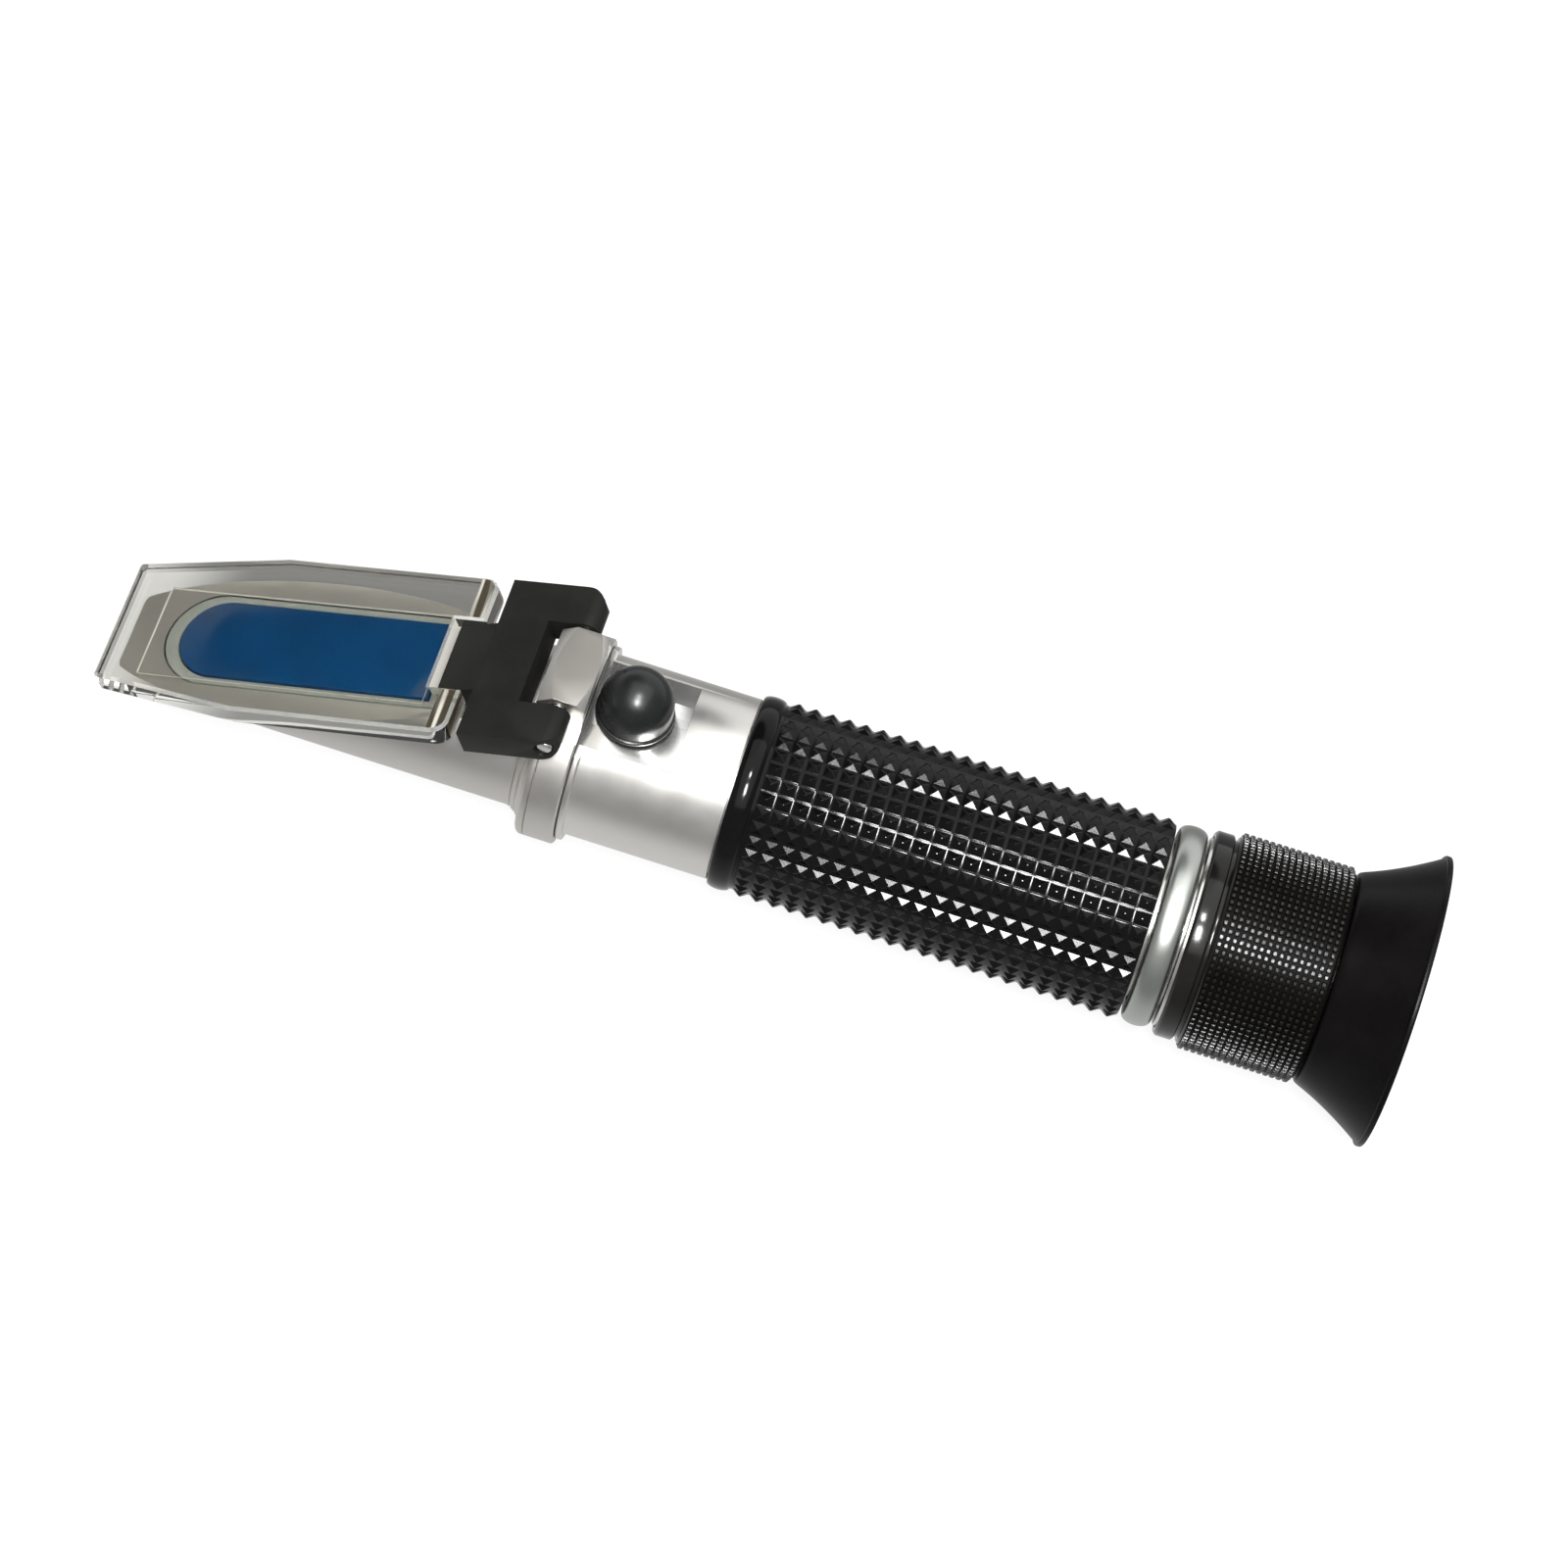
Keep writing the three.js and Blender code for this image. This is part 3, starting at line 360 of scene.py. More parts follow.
def darkMoulding(name, color, rough, grain, size=2600, specular=0.5):
    # moulded black surfaces: fine grain in the bump, finger-dulled patches in the gloss
    sheet, s = Sheet(name), mouldingLook
    fine = sheet.noise(sheet.place(), size, 3, 0.6)
    patch = sheet.ramp(sheet.noise(sheet.place(), s['cloudSize'], 4, 0.6), 0.35, 0.72)
    shade = sheet.mix(s['patchShade'] * patch + s['grainShade'] * fine, color,
                      tuple(c * s['lift'] + s['liftLeast'] for c in color))
    gloss = rough + s['patchGloss'] * patch + s['grainGloss'] * fine - s['grainGloss']
    return sheet.finish(color=shade, rough=gloss, specular=specular, normal=sheet.bump(fine, grain, s['depth']))


def clearAcrylic():
    # polished clear plate with faint rubbed streaks
    sheet, s = Sheet('clearAcrylic'), acrylicLook
    streaks = sheet.noise(sheet.place((200, 1800, 200)), 1, 3, 0.6)
    rub = sheet.ramp(streaks, 0.5, 0.85)
    return sheet.finish(color=s['clear'], rough=rub * 0.05 + 0.015, ior=s['ior'], glass=1.0,
                        normal=sheet.bump(streaks, 0.02, 0.00002))


def frostedAcrylic():
    # where the plate was sawn or milled it scatters the light
    sheet, s = Sheet('frostedAcrylic'), acrylicLook
    saw = sheet.noise(sheet.place((900, 900, 3000)), 1, 3, 0.6)
    return sheet.finish(color=sheet.mix(saw, s['sawnDark'], s['sawnPale']), rough=saw * 0.2 + 0.4, ior=s['ior'],
                        glass=s['sawnGlass'], normal=sheet.bump(saw, 0.2, 0.00004))


def edgeAcrylic():
    # narrow chamfers, rubbed a little dull
    sheet, s = Sheet('edgeAcrylic'), acrylicLook
    rub = sheet.noise(sheet.place(), 1500, 3, 0.6)
    return sheet.finish(color=s['edge'], rough=rub * 0.15 + 0.08, ior=s['ior'], glass=s['edgeGlass'],
                        normal=sheet.bump(rub, 0.15, 0.00003))


def endAcrylic():
    # cut tab ends, with saw lines across; the dark holder showing in them is painted into the dark stripes as a painted
    # reflection
    sheet, s = Sheet('endAcrylic'), acrylicLook
    lines = sheet.noise(sheet.place((1500, 60, 0)), 1, 2, 0.5)
    # the dark stripes are saw lines plus a painted reflection of the holder seen in the cut ends
    shade = sheet.mix(sheet.ramp(lines, 0.42, 0.68), s['sawLineAndPaintedHolderDark'], s['stripePale'])
    return sheet.finish(color=shade, rough=lines * 0.15 + 0.1, ior=s['ior'], glass=s['sawnGlass'],
                        normal=sheet.bump(lines, 0.2, 0.00005))


def blueGlass():
    # deep colour with faint clouds and dust
    sheet, s = Sheet('blueGlass'), prismLook
    cloud = sheet.ramp(sheet.noise(sheet.place(), 90, 3, 0.5), 0.3, 0.75)
    dust = sheet.ramp(sheet.noise(sheet.place(), 1500, 2, 0.6), 0.55, 0.8)
    return sheet.finish(color=sheet.mix(cloud, s['deep'], s['pale']), rough=dust * 0.1 + 0.05, ior=s['ior'],
                        specular=s['specular'])


def greySealant():
    # matt and slightly uneven
    sheet, s = Sheet('greySealant'), sealantLook
    fine = sheet.noise(sheet.place(), 1400, 4, 0.6)
    return sheet.finish(color=sheet.mix(fine, s['dark'], s['pale']), rough=fine * 0.2 + s['rough'],
                        normal=sheet.bump(fine, 0.3, 0.00006))


def lensGlass():
    # a little dust on a coated lens
    sheet, s = Sheet('lensGlass'), lensLook
    dust = sheet.ramp(sheet.noise(sheet.place(), 1800, 2, 0.6), 0.6, 0.85)
    return sheet.finish(color=s['color'], rough=dust * 0.04 + 0.01, ior=s['ior'], glass=1.0, coat=s['coat'],
                        coatRough=s['coatRough'])


satinMetal = turnedMetal('satinMetal', metalColor['satin'], rough=0.35, lines=0.06)
milledMetal = turnedMetal('milledMetal', metalColor['milled'], rough=0.24, lines=0.03)
seatMetal = turnedMetal('seatMetal', metalColor['seat'], rough=0.42, lines=0.06, grain=1.0)
lugMetal = turnedMetal('lugMetal', metalColor['lug'], rough=0.45, lines=0.08, grain=1.6)
neckMetal = turnedMetal('neckMetal', metalColor['satin'], rough=0.2, lines=0.06)
ringMetal = turnedMetal('ringMetal', metalColor['grey'], rough=0.32, lines=0.05)
pinSteel = turnedMetal('pinSteel', metalColor['steel'], rough=0.25, lines=0.1, along='y')
springSteel = turnedMetal('springSteel', metalColor['steel'], rough=0.3, lines=0.1, along='z')
brassTurned = turnedMetal('brassTurned', metalColor['brass'], rough=0.3, lines=0.12, along='z')
blackMetal = darkMoulding('blackMetal', mouldingColor['metal'], rough=0.45, grain=0.1)
holderPlastic = darkMoulding('holderPlastic', mouldingColor['holder'], rough=0.42, grain=0.16, size=2200, specular=0.09)
ringPlastic = darkMoulding('ringPlastic', mouldingColor['ring'], rough=0.13, grain=0.06, specular=0.26)
knurlPlastic = darkMoulding('knurlPlastic', mouldingColor['knurl'], rough=0.17, grain=0.3, size=5200, specular=0.3)
cutPlastic = darkMoulding('cutPlastic', mouldingColor['knurl'], rough=0.4, grain=0.3, size=5200, specular=0.03)
gripRubber = darkMoulding('gripRubber', mouldingColor['grip'], rough=0.13, grain=0.06, size=2400, specular=0.13)
cupRubber = darkMoulding('cupRubber', mouldingColor['cup'], rough=0.3, grain=0.2, size=2000, specular=0.075)
capRubber = darkMoulding('capRubber', mouldingColor['cap'], rough=0.28, grain=0.12, size=2400, specular=0.34)
sealRubber = darkMoulding('sealRubber', mouldingColor['seal'], rough=0.6, grain=0.2)
acrylic = clearAcrylic()
sawnAcrylic = frostedAcrylic()
edgeFinish = edgeAcrylic()
endFinish = endAcrylic()
prismGlass = blueGlass()
sealant = greySealant()
lensMaterial = lensGlass()
print('finishes made')


# Barrel tube: lip at the joint, milled flat for the cap, step under the grip

barrelShape = {'radius': 11.72, 'bore': 9.0, 'shoulder': 19.5, 'rear': 73.5, 'gripSeat': 11.0,
               'lipRadius': 12.6, 'lipLength': 0.8, 'lipEdge': 0.15, 'lipRound': 0.25, 'edge': 0.08,
               'flatHeight': 9.98, 'flatLength': 12.15, 'flatHalf': 6.6, 'flatCrown': 62.0, 'crownSteps': 720,
               'counterbore': 10.1, 'counterboreDepth': 12.0, 'capX': 5.3, 'bushHole': 3.15, 'steps': 160,
               'holeSteps': 48}
flatCutter = {'front': -5, 'half': 14, 'depth': 3, 'top': 18, 'crownHalf': 30, 'holeTop': 20}


def makeBarrel():
    s, c = barrelShape, flatCutter
    boreEnd = s['rear'] - s['counterboreDepth']
    tube = turn('barrel_tube_visual', [
        (0, s['bore']), *arc(s['lipEdge'], s['lipRadius'] - s['lipEdge'], s['lipEdge'], 180, 90, 3),
        *arc(s['lipLength'] - s['lipRound'], s['lipRadius'] - s['lipRound'], s['lipRound'], 90, 0, 4),
        (s['lipLength'], s['radius']), (s['shoulder'], s['radius']), (s['shoulder'], s['gripSeat']),
        (s['rear'], s['gripSeat']), (s['rear'], s['counterbore']), (boreEnd, s['counterbore']),
        (boreEnd, s['bore'])], s['steps'])
    # the milled flat is very slightly crowned
    flat = block('flat', (c['front'], -c['half'], s['flatHeight'] - c['depth']),
                 (s['flatLength'], c['half'], c['top']))
    crownAxis = (0, 0, s['flatHeight'] - s['flatCrown'])
    carve(flat, rod('crown', s['flatCrown'], -c['crownHalf'], c['crownHalf'], s['crownSteps'], 'x', crownAxis))
    hole = rod('hole', s['bushHole'], 0, c['holeTop'], s['holeSteps'], 'z', (s['capX'], 0, 0))
    carve(tube, flat, hole)
    soften(tube, s['edge'], angle=40)
    smooth(tube)

    def onFlat(middle, normal):
        # the milled flat has a finish of its own
        within = abs(middle.y) < s['flatHalf'] and middle.x < s['flatLength']
        return normal.z > 0.99 and within and middle.z > s['flatHeight'] - 0.5

    paint(tube, (satinMetal, milledMetal), onFlat)
    finishPiece(tube, 'body', 'satin_aluminium', 'barrel_tube')


makeBarrel()
print('barrel made')


# Prism seat: spigot, collar, lug, flare and the cylinder cut by the slope

seatShape = {'radius': 10.4, 'front': -59.0, 'frontEdge': 0.3, 'spigot': 1.8, 'spigotRadius': 8.7,
             'collarRear': -0.13, 'collarFront': -5.15, 'collarRadius': 13.4, 'collarEdge': 0.2,
             'collarRound': 0.8, 'line': -4.0, 'lineHalf': 0.1, 'lineDepth': 0.16, 'flareLength': 2.05,
             'flareRadius': 11.8, 'flareCurve': 1.6, 'flareSteps': 14, 'flareLines': (5, 10),
             'metalFace': -2.15, 'slopeEnd': -6.655, 'shelf': 10.89, 'floor': -7.6, 'lightBore': 4.5,
             'pinHole': 1.15, 'edge': 0.1, 'steps': 160, 'boreSteps': 64, 'holeSteps': 48}
lugShape = {'top': 16.34, 'half': 5.5, 'length': 5.3, 'chamfer': 1.15, 'chamferRise': 0.9, 'brow': 0.75,
            'root': 0.5, 'base': 6, 'edge': 0.22}
prismShape = {'rear': -17.5, 'tip': -53.1, 'half': 5.7, 'proud': 0.3, 'floorGap': 0.3, 'edge': 0.12, 'steps': 96}
gasketShape = {'width': 0.9, 'tipExtra': 0.9, 'thickness': 0.8, 'recess': 1.1, 'gap': 0.2, 'edge': 0.1}
seatCutter = {'front': -80, 'rear': 12, 'half': 20, 'top': 30, 'past': 5, 'lugFront': -12, 'shelfTop': 24,
              'endHalf': 25, 'endTop': 40, 'deep': -60, 'boreRear': 8, 'pinHalf': 15, 'insideTop': 4,
              'insideDeep': -20}


def roundTipBlock(name, grow, top, bottom, tipExtra=0):
    # straight rear and round tip, in the frame of the slope
    s = prismShape
    half = s['half'] + grow
    tipCentre = s['tip'] + s['half'] - tipExtra
    deselectAll()
    bpy.ops.mesh.primitive_cylinder_add(vertices=s['steps'], radius=half * mm, depth=(top - bottom) * mm,
                                        location=(tipCentre * mm, 0, (top + bottom) / 2 * mm))
    obj = settle(bpy.context.active_object, name)
    editOn(obj)
    trim((tipCentre * mm, 0, 0), (1, 0, 0))
    chooseFaces(obj, lambda middle, normal: normal.x > 0.9)
    bpy.ops.mesh.extrude_region_move(
        TRANSFORM_OT_translate={'value': ((s['rear'] + grow - tipCentre) * mm, 0, 0)})
    editOff()
    return moved(obj, slopeMatrix)


def cutBelow(obj, height):
    editOn(obj)
    trim(origin + Vector((0, 0, height * mm)), (0, 0, -1))
    editOff()
    return obj


def makeSeat():
    s, g, c = seatShape, lugShape, seatCutter
    flare = []
    for i in range(1, s['flareSteps'] + 1):
        # two fine turned lines on the flare
        share = i / s['flareSteps']
        dip = s['lineDepth'] if i in s['flareLines'] else 0
        fall = (s['flareRadius'] - s['radius']) * (1 - (1 - share) ** s['flareCurve'])
        flare.append((s['collarFront'] - s['flareLength'] * share, s['flareRadius'] - dip - fall))
    seat = turn('prism_seat_visual', [
        (s['spigot'], s['spigotRadius']), (s['collarRear'], s['spigotRadius']),
        (s['collarRear'], s['collarRadius'] - s['collarEdge']),
        (s['collarRear'] - s['collarEdge'], s['collarRadius']),
        (s['line'] + s['lineHalf'], s['collarRadius']), (s['line'], s['collarRadius'] - s['lineDepth']),
        (s['line'] - s['lineHalf'], s['collarRadius']),
        *arc(s['collarFront'] + s['collarRound'], s['collarRadius'] - s['collarRound'], s['collarRound'], 90, 180, 5),
        (s['collarFront'], s['flareRadius']), *flare, (s['front'] + s['frontEdge'], s['radius']),
        (s['front'], s['radius'] - s['frontEdge']), (s['front'], 0)], s['steps'], closed=False)
    lugFront, lugRise = s['collarRear'] - g['length'], g['top'] + g['chamferRise']
    lug = turn('lug', [
        (s['collarRear'], g['root']), (s['collarRear'], g['top']), (s['collarRear'] - g['chamfer'], lugRise),
        (lugFront + g['chamfer'], lugRise),
        (lugFront - g['brow'], g['top'] - g['brow'] * g['chamferRise'] / g['chamfer']),
        (lugFront - g['brow'], g['root'])], s['steps'])
    carve(lug, block('lugBox', (c['lugFront'], -g['half'], g['base']), (c['past'], g['half'], g['top'])),
          operation='INTERSECT')
    soften(lug, g['edge'])
    shelves = [block('shelf', (s['slopeEnd'] - c['past'], low, s['shelf']), (c['past'], high, c['shelfTop']))
               for low, high in ((g['half'], c['half']), (-c['half'], -g['half']))]
    wedge = block('wedge', (c['front'], -c['half'], s['metalFace']), (c['rear'], c['half'], c['top']), slopeMatrix)
    carve(wedge, block('wedgeEnd', (s['slopeEnd'], -c['endHalf'], -c['top']), (c['top'], c['endHalf'], c['endTop'])))
    carve(seat, *shelves, wedge)
    carve(seat, lug, operation='UNION')
    gap = gasketShape['gap']
    pocket = cutBelow(roundTipBlock('pocket', gap, c['past'], c['deep']), s['floor'])
    recess = roundTipBlock('recess', gasketShape['width'] + 2 * gap, c['past'],
                           s['metalFace'] - gasketShape['recess'], gasketShape['tipExtra'])
    bore = rod('bore', s['lightBore'], prismShape['rear'], c['boreRear'], s['boreSteps'], 'x', (0, 0, 0))
    pinHole = rod('pinHole', s['pinHole'], -c['pinHalf'], c['pinHalf'], s['holeSteps'], 'y',
                  (layout['pinX'], 0, layout['pinZ']))
    carve(seat, pocket, recess, bore, pinHole)
    soften(seat, s['edge'], angle=40)
    smooth(seat)
    # the lug's milled top is duller than the turned parts
    paint(seat, (seatMetal, lugMetal), lambda middle, normal: normal.z > 0.97 and middle.z > g['top'] - 0.1)
    finishPiece(seat, 'body', 'satin_aluminium', 'prism_seat')


def makePrism():
    s, p = seatShape, prismShape
    wedge = roundTipBlock('measuring_prism_visual', 0, s['metalFace'] + p['proud'], seatCutter['deep'])
    cutBelow(wedge, s['floor'] + p['floorGap'])
    soften(wedge, p['edge'], angle=50)
    smooth(wedge)
    finishPiece(wedge, 'body', 'blue_glass', 'measuring_prism', material=prismGlass)


def makeGasket():
    s, g, c = seatShape, gasketShape, seatCutter
    ring = roundTipBlock('prism_gasket_visual', g['width'] + g['gap'], s['metalFace'],
                         s['metalFace'] - g['thickness'], g['tipExtra'])
    carve(ring, roundTipBlock('inside', g['gap'], c['insideTop'], c['insideDeep']))
    soften(ring, g['edge'], angle=50)
    smooth(ring)
    finishPiece(ring, 'body', 'grey_sealant', 'prism_gasket', material=sealant)


makeSeat()
makePrism()
makeGasket()
print('prism seat made')


# Joint seal and hinge pin

sealShape = {'front': -0.12, 'rear': -0.02, 'bore': 9.0, 'radius': 12.4, 'crown': 0.05, 'steps': 160}
pinShape = {'half': 11.55, 'radius': 1.0, 'edge': 0.25, 'steps': 40}


def makeSeal():
    s = sealShape
    ring = turn('seat_seal_visual', [
        (s['front'], s['bore']), (s['front'], s['radius']),
        ((s['front'] + s['rear']) / 2, s['radius'] + s['crown']), (s['rear'], s['radius']),
        (s['rear'], s['bore'])], s['steps'])
    smooth(ring)
    finishPiece(ring, 'body', 'black_rubber', 'seat_seal', material=sealRubber)


def makePin():
    s = pinShape
    half, edge, neck = s['half'], s['edge'], s['radius'] - s['edge']
    pin = turn('hinge_pin_visual', [
        (-half, neck), *arc(-half + edge, neck, edge, 180, 90, 3)[1:], *arc(half - edge, neck, edge, 90, 0, 3),
        (half, 0)], s['steps'], pinPlace, 'y', closed=False)
    smooth(pin)
    finishPiece(pin, 'body', 'steel', 'hinge_pin', material=pinSteel)


makeSeal()
makePin()
print('seal and pin made')


# Cover holder: black moulding with two round-ended ears, a notch and a sloping tongue

holderShape = {'thickness': 3.7, 'width': 23.8, 'notchHalf': 6.2, 'notchReach': -4.5, 'reach': -10.9,
               'tongueHalf': 5.1, 'tongueReach': -16.3, 'tongueDrop': 1.6, 'tongueLift': 1.15, 'tongueLap': 1,
               'cornerRound': 2.7, 'cornerSteps': 8, 'edge': 0.28, 'pinHole': 1.15, 'endSteps': 64,
               'holeSteps': 48}
holderCutter = {'deep': 5, 'rear': 9, 'half': 20, 'reach': 30, 'top': 10}


def makeHolder():
    s, c = holderShape, holderCutter
    half, deep = s['width'] / 2, s['thickness'] / 2
    holder = block('cover_holder_visual', (s['reach'], -half, -deep), (deep, half, deep), ownMatrix)
    atEnd = lambda v: v.x > deep - touch
    chooseEdges(holder, lambda a, b: atEnd(a) and atEnd(b) and abs(a.z - b.z) > 1)
    bevelChosen(s['cornerRound'], s['cornerSteps'])
    carve(holder, block('notch', (s['notchReach'], -s['notchHalf'], -c['deep']),
                        (c['rear'], s['notchHalf'], c['deep']), ownMatrix))
    profile = rod('ends', deep, -c['half'], c['half'], s['endSteps'], 'y', (0, 0, 0), ownMatrix)
    carve(profile, block('front', (-c['reach'], -c['half'], -deep), (0, c['half'], deep), ownMatrix),
          operation='UNION')
    carve(holder, profile, operation='INTERSECT')
    # the tongue falls towards its front and runs into the holder at the top
    root = s['reach'] + s['tongueLap']
    tongue = block('tongue', (s['tongueReach'], -s['tongueHalf'], -deep), (root, s['tongueHalf'], deep), ownMatrix)
    chooseEdges(tongue, lambda a, b: max(a.x, b.x) < s['tongueReach'] + 0.1 and min(a.z, b.z) > 0)
    bpy.ops.transform.translate(value=(0, 0, -s['tongueDrop'] * mm))
    editOff()
    chooseEdges(tongue, lambda a, b: min(a.x, b.x) > s['reach'] and min(a.z, b.z) > 0)
    lift = s['tongueLift'] * s['tongueDrop'] * s['tongueLap'] / (root - s['tongueReach'])
    bpy.ops.transform.translate(value=(0, 0, lift * mm))
    editOff()
    carve(tongue, block('lid', (-c['reach'], -c['half'], deep), (c['reach'], c['half'], c['top']), ownMatrix))
    carve(holder, tongue, operation='UNION')
    carve(holder, rod('pinHole', s['pinHole'], -c['half'], c['half'], s['holeSteps'], 'y', (0, 0, 0), ownMatrix))
    soften(holder, s['edge'], 3, 32)
    smooth(holder)
    moved(holder, slopeMatrix)
    finishPiece(holder, 'cover', 'black_plastic', 'cover_holder', material=holderPlastic)


# Cover plate: thick clear acrylic, coffin-shaped, rounded rear tabs, slot for the tongue, low pad below

plateShape = {'thickness': 3.2, 'top': 1.85, 'half': 11.9, 'frontHalf': 8.95, 'front': -61.6, 'widest': -41.7,
              'rear': -12.6, 'rearRound': 2.0, 'rearSteps': 8, 'slotHalf': 5.3, 'slotFront': -16.8,
              'slotEdge': 0.3, 'slotDeep': 5, 'padDrop': 0.3, 'padRoot': 0.3, 'padHalf': 6.8, 'padFront': -56.9,
              'padRear': -17.7, 'padEdge': 0.16, 'edge': 0.4, 'strip': 2.5}


def makePlate():
    s = plateShape
    under = s['top'] - s['thickness']
    padUnder = under - s['padDrop']
    stripStart = s['rear'] - s['strip']
    plate = block('cover_plate_visual', (s['front'], -s['half'], under), (s['rear'], s['half'], s['top']), ownMatrix)
    chooseEdges(plate, lambda a, b: min(a.x, b.x) > s['rear'] - 0.1 and abs(a.z - b.z) > 1)
    bpy.ops.mesh.bevel(offset=s['rearRound'] * mm, segments=s['rearSteps'], affect='EDGES')
    run, narrow = s['widest'] - s['front'], s['half'] - s['frontHalf']
    for side in (1, -1):
        trim((s['front'] * mm, side * s['frontHalf'] * mm, 0), (-narrow, side * run, 0))
    editOff()
    soften(plate, s['edge'], 1, 40)
    pad = block('pad', (s['padFront'], -s['padHalf'], padUnder),
                (s['padRear'], s['padHalf'], under + s['padRoot']), ownMatrix)
    soften(pad, s['padEdge'], 1, 40)
    carve(plate, pad, operation='UNION')
    carve(plate, block('slot', (s['slotFront'], -s['slotHalf'], -s['slotDeep']),
                       (0, s['slotHalf'], s['slotDeep']), ownMatrix))
    atSlot = lambda v: abs(v.x - s['slotFront']) < touch or abs(abs(v.y) - s['slotHalf']) < touch
    chooseEdges(plate, lambda a, b: atSlot(a) and atSlot(b) and min(a.z, b.z) > s['top'] - touch)
    bevelChosen(s['slotEdge'], 1)
    # the cut at each tab's end, with the holder in it, is painted onto the top as a striped strip: a painted reflection
    # seen through the plate
    editOn(plate)
    bpy.ops.mesh.select_all(action='SELECT')
    bpy.ops.mesh.bisect(plane_co=(stripStart * mm, 0, 0), plane_no=(1, 0, 0), threshold=cutReach)
    editOff()
    smooth(plate, 20)

    def finishAt(middle, normal):
        # the sawn slot wall and the pad's narrow edge are frosted
        sawn = abs(middle.x - s['slotFront']) < 0.05 and abs(normal.z) < 0.2
        padEdge = padUnder - touch < middle.z < under - touch and abs(normal.z) < 0.95
        chamfer = 0.3 < abs(normal.z) < 0.95
        # the top over the tab's end takes the end's painted stripes
        tabEnd = middle.x > stripStart and (normal.z > 0.95 or normal.x > 0.9)
        return 1 if sawn or padEdge else 2 if chamfer else 3 if tabEnd else 0

    paint(plate, (acrylic, sawnAcrylic, edgeFinish, endFinish), finishAt, Vector())
    moved(plate, slopeMatrix)
    finishPiece(plate, 'cover', 'clear_acrylic', 'cover_plate')


makeHolder()
makePlate()
print('cover made')


# Calibration cap, and the bush and screw under it

capShape = {'x': 5.3, 'seat': 9.8, 'bottom': 10.1, 'footRise': 0.12, 'footIn': 0.1, 'flangeRadius': 4.95,
            'flangeHeight': 0.6, 'flangeRound': 0.15, 'radius': 4.7, 'rise': 2.5, 'lead': 0.05, 'domeTurn': 6,
            'hollowRadius': 4.0, 'hollowTop': 12.1, 'hollowRound': 0.7, 'hollowTip': 0.05, 'steps': 96}
bushShape = {'bottom': 8.7, 'top': 11.8, 'bore': 1.9, 'radius': 3.0, 'flangeBottom': 10.0, 'flangeTop': 10.7,
             'flangeRadius': 3.75, 'edge': 0.12, 'steps': 64}
screwShape = {'radius': 1.7, 'bottom': 8.3, 'top': 11.2, 'slotHalf': 0.3, 'slotBottom': 10.5, 'slotTop': 15,
              'slotReach': 3, 'edge': 0.1, 'steps': 48}
capAxis = origin + Vector((capShape['x'] * mm, 0, 0))


def makeCap():
    s = capShape
    centre = s['seat'] + s['rise']
    hollowEnd = s['hollowTop'] + s['hollowRound']
    flangeTop = s['bottom'] + s['flangeHeight']
    turns = [math.radians(a) for a in range(0, 90, s['domeTurn'])]
    cap = turn('calibration_cap_visual', [
        (hollowEnd, s['hollowTip']), (hollowEnd, s['hollowRadius'] - s['hollowRound']),
        (s['hollowTop'], s['hollowRadius']), (s['bottom'], s['hollowRadius']),
        (s['bottom'], s['flangeRadius'] - s['footIn']), (s['bottom'] + s['footRise'], s['flangeRadius']),
        *arc(flangeTop - s['flangeRound'], s['flangeRadius'] - s['flangeRound'], s['flangeRound'], 90, 0, 3),
        (flangeTop + s['lead'], s['radius']),
        *[(centre + s['radius'] * math.sin(a), s['radius'] * math.cos(a)) for a in turns],
        (centre + s['radius'], 0)], s['steps'], capAxis, 'z', closed=False)
    smooth(cap, 40)
    finishPiece(cap, 'cap', 'cap_rubber', 'calibration_cap', material=capRubber)


def makeBush():
    s = bushShape
    bush = turn('calibration_bush_visual', [
        (s['bottom'], s['bore']), (s['bottom'], s['radius']), (s['flangeBottom'], s['radius']),
        (s['flangeBottom'], s['flangeRadius']), (s['flangeTop'], s['flangeRadius']), (s['flangeTop'], s['radius']),
        (s['top'], s['radius']), (s['top'], s['bore'])], s['steps'], capAxis, 'z')
    soften(bush, s['edge'])
    smooth(bush)
    finishPiece(bush, 'body', 'brass', 'calibration_bush', material=brassTurned)


def makeScrew():
    s = screwShape
    x = capShape['x']
    screw = rod('calibration_screw_visual', s['radius'], s['bottom'], s['top'], s['steps'], 'z', (x, 0, 0))
    carve(screw, block('slot', (x - s['slotReach'], -s['slotHalf'], s['slotBottom']),
                       (x + s['slotReach'], s['slotHalf'], s['slotTop'])))
    soften(screw, s['edge'])
    smooth(screw)
    finishPiece(screw, 'screw', 'brass', 'calibration_screw', material=brassTurned)


makeCap()
makeBush()
makeScrew()
print('cap, bush and screw made')


# Grip: smooth bead, then rows of four-sided studs

gripShape = {'front': 19.7, 'rear': 73.3, 'bore': 11.3, 'beadLength': 2.9, 'beadRadius': 12.55, 'beadSteps': 12,
             'lap': 0.1, 'groove': 0.4, 'rows': 23, 'round': 40, 'height': 0.62, 'frontTip': 12.65,
             'rearTip': 13.05, 'valley': 0.14, 'edge': 0.07, 'steps': 160}


